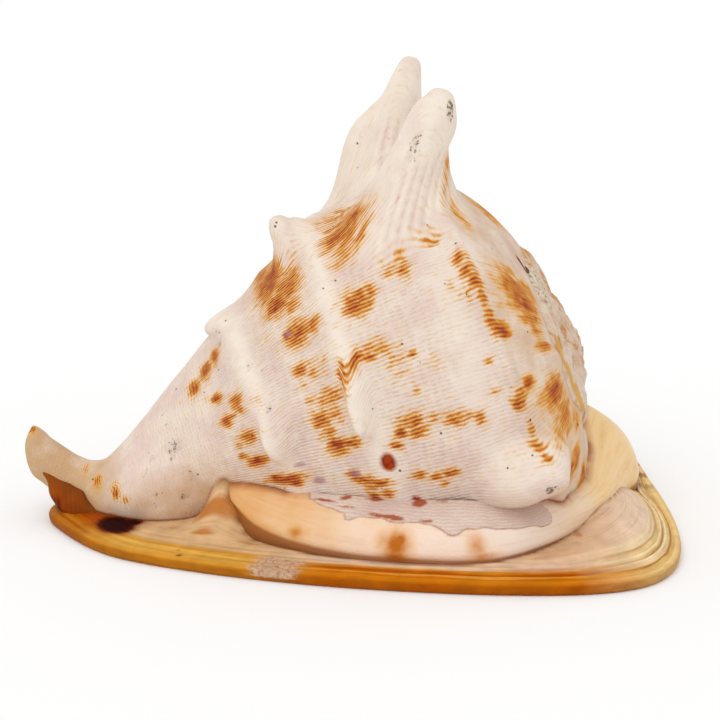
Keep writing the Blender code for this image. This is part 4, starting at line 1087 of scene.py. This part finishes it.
    # Smooth dark ovals and mauve ones.
    ovals = broken_mark(add, edges, 0.6, value["dark"], 0.5, 1.1)
    oval_colour = add("ValToRGB", {0: edges}, ((0.38, "#701A04"), (0.6, "#A03C16")))
    mauves = broken_mark(add, edges, 0.4, value["mauve"], 0.35, 0.9, 0.75)

    # Pits of black algae, rare and commoner near the canal, and patches of grey smudge with black grit.
    # The grit is drawn coarser than the real one, which the render couldn't show.
    pits = add("TexVoronoi", {"Vector": body, "Scale": 0.28})
    chosen = add("Math", {0: value["canal"], 1: 0.06, 2: -0.42}, operation="MULTIPLY_ADD")
    chosen = add("Math", {0: pits.outputs["Color"], 1: chosen}, operation="ADD")
    specks = broken_mark(add, pits.outputs["Distance"], -1.8, chosen, 0.18, 0.28, 0.85)
    smudge = add("Math", {0: value["speck"], 1: edges}, operation="MULTIPLY")
    smudge = add("MapRange", {"Value": smudge, "From Min": 0.2, "From Max": 0.7, "To Max": 0.5})
    grit = add("TexNoise", {"Vector": body, "Scale": 0.8, "Detail": 3.0, "Roughness": 0.7})
    grit = broken_mark(add, value["speck"], 0.26, grit, 0.74, 0.82, 0.8)
    # Painted contact shade where the back meets the other pieces, with a brown line along the seam.
    contact_shade_line = add("Math", {0: value["crease"], 1: 0.6}, operation="MULTIPLY")
    for share, over in ((tan, colours.tan), (grooves, GROOVE_MAUVE), (bare, colours.ivory), (washed, rust),
                        (ovals, oval_colour), (mauves, "#A98089"), (specks, "#3B2A22"),
                        (smudge, "#B39C8A"), (grit, "#5A4A3E"), (contact_shade_line, "#8F4D1C")):
        colour = add("Mix", {0: share, 6: colour, 7: over}, data_type="RGBA")

    # Relief of the growth lines, flattened where they are faint or worn, and a fine chalky grain.
    grain = add("TexNoise", {"Vector": body, "Scale": 1.1, "Detail": 2.0})
    relief = add("MapRange", {"Value": dashes, "From Min": FAINTEST_DASH, "From Max": DEEPEST_DASH,
                              "To Min": 0.55})
    relief = add("Math", {0: wave, 1: relief}, operation="MULTIPLY")
    relief = add("Math", {0: relief, 1: worn}, operation="MULTIPLY")
    relief = add("Math", {0: grain, 1: 0.6, 2: relief}, operation="MULTIPLY_ADD")
    dress(surface, add, colour, relief, 0.0002)
    return material


def sea_worn_spire():
    """Spire of the shell, worn by the sea: pinkish cream with smeared rusty stains and a rough skin."""
    material, add, surface, value = new_material("sea_worn_shell_spire", 0.58, 0.04,
                                                 ("chip", "callus", "pit", "suture"))
    body = in_millimetres(add)
    smears = add("TexNoise", {"Vector": body, "Scale": 0.11, "Detail": 4.0, "Roughness": 0.65,
                              "Distortion": 0.6})
    colour = add("ValToRGB", {0: smears}, (
        (0.4, "#E0CDBB"), (0.53, "#D6B99F"), (0.6, "#CB935C"), (0.7, "#B4702F")))
    crumbs = add("TexNoise", {"Vector": body, "Scale": 0.6, "Detail": 4.0, "Roughness": 0.7})
    dirt = add("MapRange", {"Value": crumbs, "From Min": 0.58, "From Max": 0.72, "To Max": 0.6})
    chalk = add("ValToRGB", {0: crumbs}, ((0.34, "#8A6E50"), (0.47, "#CDBBA2"), (0.62, "#E4D6C2")))
    marks = [broken_mark(add, crumbs, 0.5, value[key], 0.62, 0.85, 0.9) for key in ("chip", "callus", "pit")]
    # The rows beside the inner seam are darkened in patches.
    seam_darkening = add("Math", {0: value["suture"], 1: crumbs}, operation="MULTIPLY")
    seam_darkening = add("MapRange", {"Value": seam_darkening, "From Min": 0.1, "From Max": 0.5, "To Max": 0.8})
    for share, over in zip((dirt, *marks, seam_darkening), ("#8C735C", chalk, "#D8A64E", "#4A1E06", "#7E4E28")):
        colour = add("Mix", {0: share, 6: colour, 7: over}, data_type="RGBA")
    dress(surface, add, colour, crumbs, 0.0006)
    return material


def glazed_shield(colours):
    """Shield and mouth, glazed by the living animal: rusty and tan layers by the rim, pale toothed mouth."""
    material, add, surface, value = new_material("glazed_shell_shield", 0.4, 0.02, (
        "arc", "into", "under", "tooth", "spot", "chip", "crescent", "crease"))
    body = in_millimetres(add)

    # Layers: bands by distance in from the rim, drawn out along it like the grain of wood.
    drift = add("TexNoise", {"Vector": add("CombineXYZ", {0: value["arc"]}), "Scale": 0.045, "Detail": 2.0})
    drifted = add("Math", {0: drift, 1: 1.6, 2: value["into"]}, operation="MULTIPLY_ADD")
    drawn_out = add("CombineXYZ", {0: value["arc"], 1: drifted})
    drawn_out = add("VectorMath", {0: drawn_out, 1: (0.035, 0.9, 1.0)}, operation="MULTIPLY")
    grain = add("TexNoise", {"Vector": drawn_out, "Scale": 1.0, "Detail": 4.0, "Roughness": 0.65})
    level = add("Math", {0: grain, 1: 1.8, 2: drifted}, operation="MULTIPLY_ADD")
    level = add("MapRange", {"Value": level, "From Min": 1.7, "From Max": 1.7 + LAYERS_DEEP})
    colour, *others = [add("ValToRGB", {0: level}, [(reach / LAYERS_DEEP, tone) for reach, tone in layers])
                       for layers in (TIP_LAYERS, LEFT_LAYERS, FRONT_LAYERS, RIGHT_LAYERS)]
    for ramp, (first, last) in zip(others, LAYER_CHANGES):
        share = add("MapRange", {"Value": value["arc"], "From Min": first, "From Max": last})
        colour = add("Mix", {0: share, 6: colour, 7: ramp}, data_type="RGBA")

    # Brown bars across the outer lip, on the side away from the shield, and fine streaks on all layers.
    bars = add("TexWave", {"Vector": drawn_out, "Scale": WAVE_UNIT / 0.5, "Distortion": 3.0, "Detail": 2.0,
                           "Detail Scale": 0.5}, bands_direction="X")
    bars = add("MapRange", {"Value": bars, "From Min": 0.55, "From Max": 0.8, "To Max": 0.75})
    outer = add("MapRange", {"Value": value["arc"], "From Min": 335.0, "From Max": 370.0})
    bars = add("Math", {0: bars, 1: outer}, operation="MULTIPLY")
    streaks = add("MapRange", {"Value": grain, "From Min": 0.52, "From Max": 0.74, "To Max": 0.45})
    for share, over in ((bars, "#8B4A1B"), (streaks, "#B5721F")):
        colour = add("Mix", {0: share, 6: colour, 7: over}, data_type="RGBA")
    cloud = add("TexNoise", {"Vector": body, "Scale": 0.16, "Detail": 3.0})
    clouded = add("MapRange", {"Value": cloud, "From Min": 0.35, "From Max": 0.7, "To Min": 0.9,
                               "To Max": 1.1})
    colour = add("VectorMath", {0: colour, "Scale": clouded}, operation="SCALE")

    # Marks of this shell: rusty crescents, the dark brown spot by the canal, and the rubbed pink chip.
    rough_edge = add("TexNoise", {"Vector": drawn_out, "Scale": 4.0, "Detail": 4.0})
    crescents = broken_mark(add, rough_edge, 0.7, value["crescent"], 0.6, 1.15, 0.8)
    edge = add("MapRange", {"Value": value["into"], "From Min": 0.7, "From Max": 0.1, "To Max": 0.7})
    edge = add("Math", {0: edge, 1: rough_edge}, operation="MULTIPLY")
    spot = add("Math", {0: rough_edge, 1: 0.35, 2: value["spot"]}, operation="MULTIPLY_ADD")
    spot_colour = add("ValToRGB", {0: spot}, ((0.5, "#8A3A04"), (0.78, "#4A0E00"), (1.0, "#260100")))
    spot = add("MapRange", {"Value": spot, "From Min": 0.36, "From Max": 0.72})
    rubbed = add("TexNoise", {"Vector": body, "Scale": 0.7, "Detail": 4.0, "Roughness": 0.8})
    rubbed_colour = add("ValToRGB", {0: rubbed}, ((0.36, "#A07458"), (0.46, "#C9A184"), (0.6, "#DCBFA2")))
    chip = broken_mark(add, rubbed, 0.7, value["chip"], 0.62, 1.05, 0.85)

    # Underside: peach glaze, pale teeth, brown between them and inside the mouth.
    peach = add("ValToRGB", {0: cloud}, ((0.3, "#DFAC7C"), (0.52, colours.peach), (0.75, "#CF9052")))
    teeth = add("ValToRGB", {0: value["tooth"]}, ((0.12, "#8A4A22"), (0.4, "#D19A66"), (0.62, "#F3E4CE")))
    near_mouth = add("MapRange", {"Value": value["tooth"], "From Min": 0.0, "From Max": 0.1})
    under = add("Mix", {0: near_mouth, 6: peach, 7: teeth}, data_type="RGBA")
    # Painted contact shade where the base and the canal fold meet the other pieces, with a brown line along
    # the seam.
    contact_shade_line = add("Math", {0: value["crease"], 1: 0.8}, operation="MULTIPLY")
    for share, over in ((crescents, "#B9691A"), (edge, "#6E2E06"), (spot, spot_colour), (chip, rubbed_colour),
                        (value["under"], under), (contact_shade_line, "#7C4317")):
        colour = add("Mix", {0: share, 6: colour, 7: over}, data_type="RGBA")
    relief = add("Math", {0: rubbed, 1: value["chip"]}, operation="MULTIPLY")
    relief = add("Math", {0: relief, 1: 3.0, 2: grain}, operation="MULTIPLY_ADD")
    dress(surface, add, colour, relief, 0.0003)
    return material


def glazed_former_lip(colours):
    """Former lip, glazed by the living animal: peach to pinkish cream, rusty at its edges and in spots."""
    material, add, surface, value = new_material("glazed_shell_former_lip", 0.38, 0.15, (
        "arc", "across", "spot", "callus", "stain", "crease"))
    body = in_millimetres(add)

    # Glaze: its tone changes along the roll, with pale and tawny streaks, more of them on the older part.
    cloud = add("TexNoise", {"Vector": body, "Scale": 0.09, "Detail": 3.0})
    along = add("Math", {0: cloud, 1: 50.0, 2: value["arc"]}, operation="MULTIPLY_ADD")
    along = add("MapRange", {"Value": along, "From Min": 25.0, "From Max": 275.0})
    colour = add("ValToRGB", {0: along}, (
        (0.0, "#DDA05C"), (0.16, "#E7BA88"), (0.32, colours.peach_pink), (0.52, "#F0DED0"), (0.62, "#EED2AE"),
        (0.70, "#EDC78E"), (1.0, "#F0CD92")))
    drawn_out = add("CombineXYZ", {0: value["arc"], 1: value["across"]})
    drawn_out = add("VectorMath", {0: drawn_out, 1: (0.035, 9.0, 1.0)}, operation="MULTIPLY")
    streaks = add("TexNoise", {"Vector": drawn_out, "Scale": 1.0, "Detail": 4.0, "Roughness": 0.7})
    older = add("MapRange", {"Value": value["arc"], "From Min": 90.0, "From Max": 150.0, "To Min": 0.18,
                             "To Max": 0.34})
    pale = add("MapRange", {"Value": streaks, "From Min": 0.5, "From Max": 0.34, "To Max": 0.7})
    tawny = add("MapRange", {"Value": streaks, "From Min": 0.52, "From Max": 0.72})
    pale, tawny = [add("Math", {0: share, 1: older}, operation="MULTIPLY") for share in (pale, tawny)]
    fine = add("TexNoise", {"Vector": body, "Scale": 0.5, "Detail": 3.0})
    rust = broken_mark(add, fine, 0.35, value["spot"], 0.28, 1.25)
    rust_colour = add("ValToRGB", {0: rust}, ((0.2, "#E0A24A"), (0.7, "#CC7C0A"), (1.0, "#BA6604")))
    foot = add("MapRange", {"Value": value["across"], "From Min": 0.03, "From Max": 0.0, "To Max": 0.85})

    # The newer layer that laps over the roll has the back's kind of ground, growth lines and stains; its
    # ground is a little darker than the back's, as painted shade that matches the shaded body above it.
    patches = add("TexNoise", {"Vector": body, "Scale": 0.085, "Detail": 4.0, "Roughness": 0.6})
    lap = add("ValToRGB", {0: patches}, ((0.36, "#DFCDBD"), (0.62, "#D3BCB0")))
    lap_place = add("Math", {0: value["across"], 1: 21.0}, operation="MULTIPLY")
    lap_place = add("CombineXYZ", {0: lap_place, 1: value["arc"]})
    lines = add("TexWave", {"Vector": lap_place, "Scale": WAVE_UNIT / 1.3, "Distortion": 7.0, "Detail": 3.0,
                            "Detail Scale": 1.0, "Detail Roughness": 0.7}, bands_direction="X")
    grooves = add("MapRange", {"Value": lines, "From Min": 0.7, "From Max": 0.1, "To Max": 0.4})
    stained = broken_mark(add, fine, 0.7, value["stain"], 0.62, 1.0, 0.9)
    for share, over in ((grooves, GROOVE_MAUVE), (stained, "#A2430E")):
        lap = add("Mix", {0: share, 6: lap, 7: over}, data_type="RGBA")

    # Brown lines along the newer layer's edge, and in patches where the roll meets the body a brown line with
    # painted contact shade.
    rim_line = add("Math", {0: value["callus"], 1: 0.5}, operation="SUBTRACT")
    rim_line = add("Math", {0: rim_line}, operation="ABSOLUTE")
    rim_line = add("MapRange", {"Value": rim_line, "From Min": 0.45, "From Max": 0.1})
    rim_line = add("Math", {0: rim_line, 1: fine}, operation="MULTIPLY")
    patchy = add("TexNoise", {"Vector": body, "Scale": 0.11, "Detail": 2.0})
    patchy = add("MapRange", {"Value": patchy, "From Min": 0.38, "From Max": 0.62, "To Min": 0.35,
                              "To Max": 1.0})
    bare = add("Math", {0: 1.0, 1: value["callus"]}, operation="SUBTRACT")
    patchy = add("Math", {0: patchy, 1: bare}, operation="MULTIPLY")
    contact_shade_line = add("Math", {0: value["crease"], 1: patchy}, operation="MULTIPLY")
    for share, over in ((pale, "#F0E0CC"), (tawny, "#C68B4A"), (rust, rust_colour), (foot, "#9A5A26"),
                        (value["callus"], lap), (rim_line, "#9C5A34"), (contact_shade_line, "#9C5119")):
        colour = add("Mix", {0: share, 6: colour, 7: over}, data_type="RGBA")
    relief = add("Math", {0: streaks, 1: 0.8, 2: fine}, operation="MULTIPLY_ADD")
    dress(surface, add, colour, relief, 0.0004, 0.6)
    return material


def matt_white_card():
    """Card of the floor, matt and nearly white."""
    material, _, surface, _ = new_material("matt_white_card", 0.9, 0.5)
    surface.inputs["Base Color"].default_value = linear("#FAFAFA")
    return material


# Settings, operators and panel

class HelmetShellSizes(bpy.types.PropertyGroup):
    """Sizes that a user would change."""

    growth_line_spacing: bpy.props.FloatProperty(
        name="Growth line spacing", default=0.00126, unit="LENGTH", subtype="DISTANCE",
        description="Distance between the fine grooves, where the coil's radius is 60 mm")
    flute_depth: bpy.props.FloatProperty(
        name="Flute depth", default=0.00032, unit="LENGTH", subtype="DISTANCE",
        description="Depth of the flutes on the feet of the horns")
    shield_thickness: bpy.props.FloatProperty(
        name="Shield thickness", default=0.0039, unit="LENGTH", subtype="DISTANCE",
        description="Thickness of the shield beside its rim")
    outer_lip_thickness: bpy.props.FloatProperty(
        name="Outer lip thickness", default=0.015, unit="LENGTH", subtype="DISTANCE",
        description="Thickness of the rolled outer lip")


class HelmetShellColours(bpy.types.PropertyGroup):
    """Colours that a user would change, as sRGB hex values."""

    cream: bpy.props.StringProperty(
        name="Cream", description="Lightest ground of the back", default="#E8D8C8")
    mauve_pink: bpy.props.StringProperty(
        name="Mauve pink", description="Duller ground of the back", default="#DEC8BC")
    tan: bpy.props.StringProperty(
        name="Tan", description="Ground of the back towards the canal", default="#CCA880")
    ivory: bpy.props.StringProperty(
        name="Ivory", description="Horns, knobs and worn heights", default="#EEE1D2")
    rust: bpy.props.StringProperty(
        name="Rust", description="Middle tone of the back's stains", default="#CE841E")
    dark_stain: bpy.props.StringProperty(
        name="Dark stain", description="Darkest tone of the back's stains", default="#8E2400")
    peach: bpy.props.StringProperty(
        name="Peach", description="Glaze of the underside", default="#D99F66")
    peach_pink: bpy.props.StringProperty(
        name="Peach pink", description="Middle of the former lip", default="#F0D5BE")


class HELMET_SHELL_OT_last_whorl(bpy.types.Operator):
    """Build the last whorl with its horns, knobs and canal"""

    bl_idname = "helmet_shell.last_whorl"
    bl_label = "Last whorl"

    def execute(self, context):
        sizes = context.scene.helmet_shell_sizes
        skin = sea_worn_shell_back(context.scene.helmet_shell_colours, sizes)
        made = piece("last_whorl", *last_whorl_grid(sizes), skin)
        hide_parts("shell")
        return {"FINISHED"}


class HELMET_SHELL_OT_spire(bpy.types.Operator):
    """Build the earlier whorls of the spire"""

    bl_idname = "helmet_shell.spire"
    bl_label = "Spire"

    def execute(self, context):
        piece("spire", *spire_grid(), sea_worn_spire())
        return {"FINISHED"}


class HELMET_SHELL_OT_shield(bpy.types.Operator):
    """Build the base: shield, rim, outer lip, underside and toothed mouth"""

    bl_idname = "helmet_shell.shield"
    bl_label = "Shield and mouth"

    def execute(self, context):
        glaze = glazed_shield(context.scene.helmet_shell_colours)
        piece("shield", *shield_grid(context.scene.helmet_shell_sizes), glaze)
        piece("canal_fold", *fold_grid(), glaze)
        return {"FINISHED"}


class HELMET_SHELL_OT_former_lip(bpy.types.Operator):
    """Build the pale roll left by the former lip"""

    bl_idname = "helmet_shell.former_lip"
    bl_label = "Former lip"

    def execute(self, context):
        piece("former_lip", *former_lip_grid(), glazed_former_lip(context.scene.helmet_shell_colours))
        return {"FINISHED"}


class HELMET_SHELL_OT_contacts(bpy.types.Operator):
    """Mark where the pieces meet, for the painted contact shade and brown line in their seams"""

    bl_idname = "helmet_shell.contacts"
    bl_label = "Contacts"

    def execute(self, context):
        whorl, spire, shield, lip, fold = (bpy.data.objects[name] for name in (
            "last_whorl", "spire", "shield", "former_lip", "canal_fold"))
        mark_creases(whorl, (lip, shield, spire), LAPPED)
        mark_creases(shield, (lip, whorl))
        mark_creases(lip, (whorl,))
        mark_creases(fold, (whorl,))
        return {"FINISHED"}


class HELMET_SHELL_OT_stage(bpy.types.Operator):
    """Build the floor, the light and the camera"""

    bl_idname = "helmet_shell.stage"
    bl_label = "Stage"

    def execute(self, context):
        scene = context.scene
        bm = bmesh.new()
        bmesh.ops.create_grid(bm, x_segments=1, y_segments=1, size=FLOOR_HALF)
        bmesh.ops.translate(bm, vec=(0.0, 0.0, -FLOOR_DROP), verts=bm.verts[:])
        mesh = bpy.data.meshes.new("floor")
        bm.to_mesh(mesh)
        bm.free()
        mesh.materials.append(matt_white_card())
        floor = bpy.data.objects.new("floor", mesh)
        scene.collection.objects.link(floor)
        world = bpy.data.worlds.new("soft_room")
        scene.world = world
        world.use_nodes = True
        backdrop = world.node_tree.nodes["Background"]
        backdrop.inputs["Color"].default_value = (1.0, 1.0, 1.0, 1.0)
        backdrop.inputs["Strength"].default_value = ROOM_LIGHT
        light = bpy.data.lights.new("softbox", "SUN")
        light.angle = SOFTBOX_ANGLE
        light.energy = SOFTBOX_STRENGTH
        lamp = bpy.data.objects.new("softbox", light)
        scene.collection.objects.link(lamp)
        lamp.location = SOFTBOX_PLACE
        lamp.rotation_euler = (-Vector(SOFTBOX_PLACE)).to_track_quat("-Z", "Y").to_euler()
        camera = bpy.data.cameras.new("camera")
        camera.lens = CAMERA_LENS
        camera.sensor_width = 36.0
        camera.clip_start, camera.clip_end = 0.05, 20.0
        eye = bpy.data.objects.new("camera", camera)
        scene.collection.objects.link(eye)
        away = np.array([0.0, -math.cos(CAMERA_TILT), math.sin(CAMERA_TILT)]) * CAMERA_DISTANCE
        eye.location = (CENTRING + CAMERA_AIM + away) * MM
        eye.rotation_euler = (math.pi / 2 - CAMERA_TILT, 0.0, 0.0)
        scene.camera = eye
        scene.view_settings.view_transform = "Standard"
        return {"FINISHED"}


class HELMET_SHELL_PT_panel(bpy.types.Panel):
    """Lists the steps in the sidebar."""

    bl_label = "Helmet shell"
    bl_idname = "HELMET_SHELL_PT_panel"
    bl_space_type = "VIEW_3D"
    bl_region_type = "UI"
    bl_category = "Shell"

    def draw(self, context):
        for step in STEPS:
            self.layout.operator(step.bl_idname)


STEPS = (HELMET_SHELL_OT_stage, HELMET_SHELL_OT_last_whorl, HELMET_SHELL_OT_spire, HELMET_SHELL_OT_shield,
         HELMET_SHELL_OT_former_lip, HELMET_SHELL_OT_contacts)
CLASSES = (HelmetShellSizes, HelmetShellColours, *STEPS, HELMET_SHELL_PT_panel)


def register():
    """Register the classes and hang the settings on the scene."""
    for kind in CLASSES:
        bpy.utils.register_class(kind)
    bpy.types.Scene.helmet_shell_sizes = bpy.props.PointerProperty(type=HelmetShellSizes)
    bpy.types.Scene.helmet_shell_colours = bpy.props.PointerProperty(type=HelmetShellColours)


def unregister():
    """Take back what register did."""
    del bpy.types.Scene.helmet_shell_colours
    del bpy.types.Scene.helmet_shell_sizes
    for kind in reversed(CLASSES):
        bpy.utils.unregister_class(kind)


def main():
    """Register the steps and run them in order."""
    register()
    bpy.ops.helmet_shell.stage()
    bpy.ops.helmet_shell.last_whorl()
    bpy.ops.helmet_shell.spire()
    bpy.ops.helmet_shell.shield()
    bpy.ops.helmet_shell.former_lip()
    bpy.ops.helmet_shell.contacts()


if __name__ == "__main__":
    main()
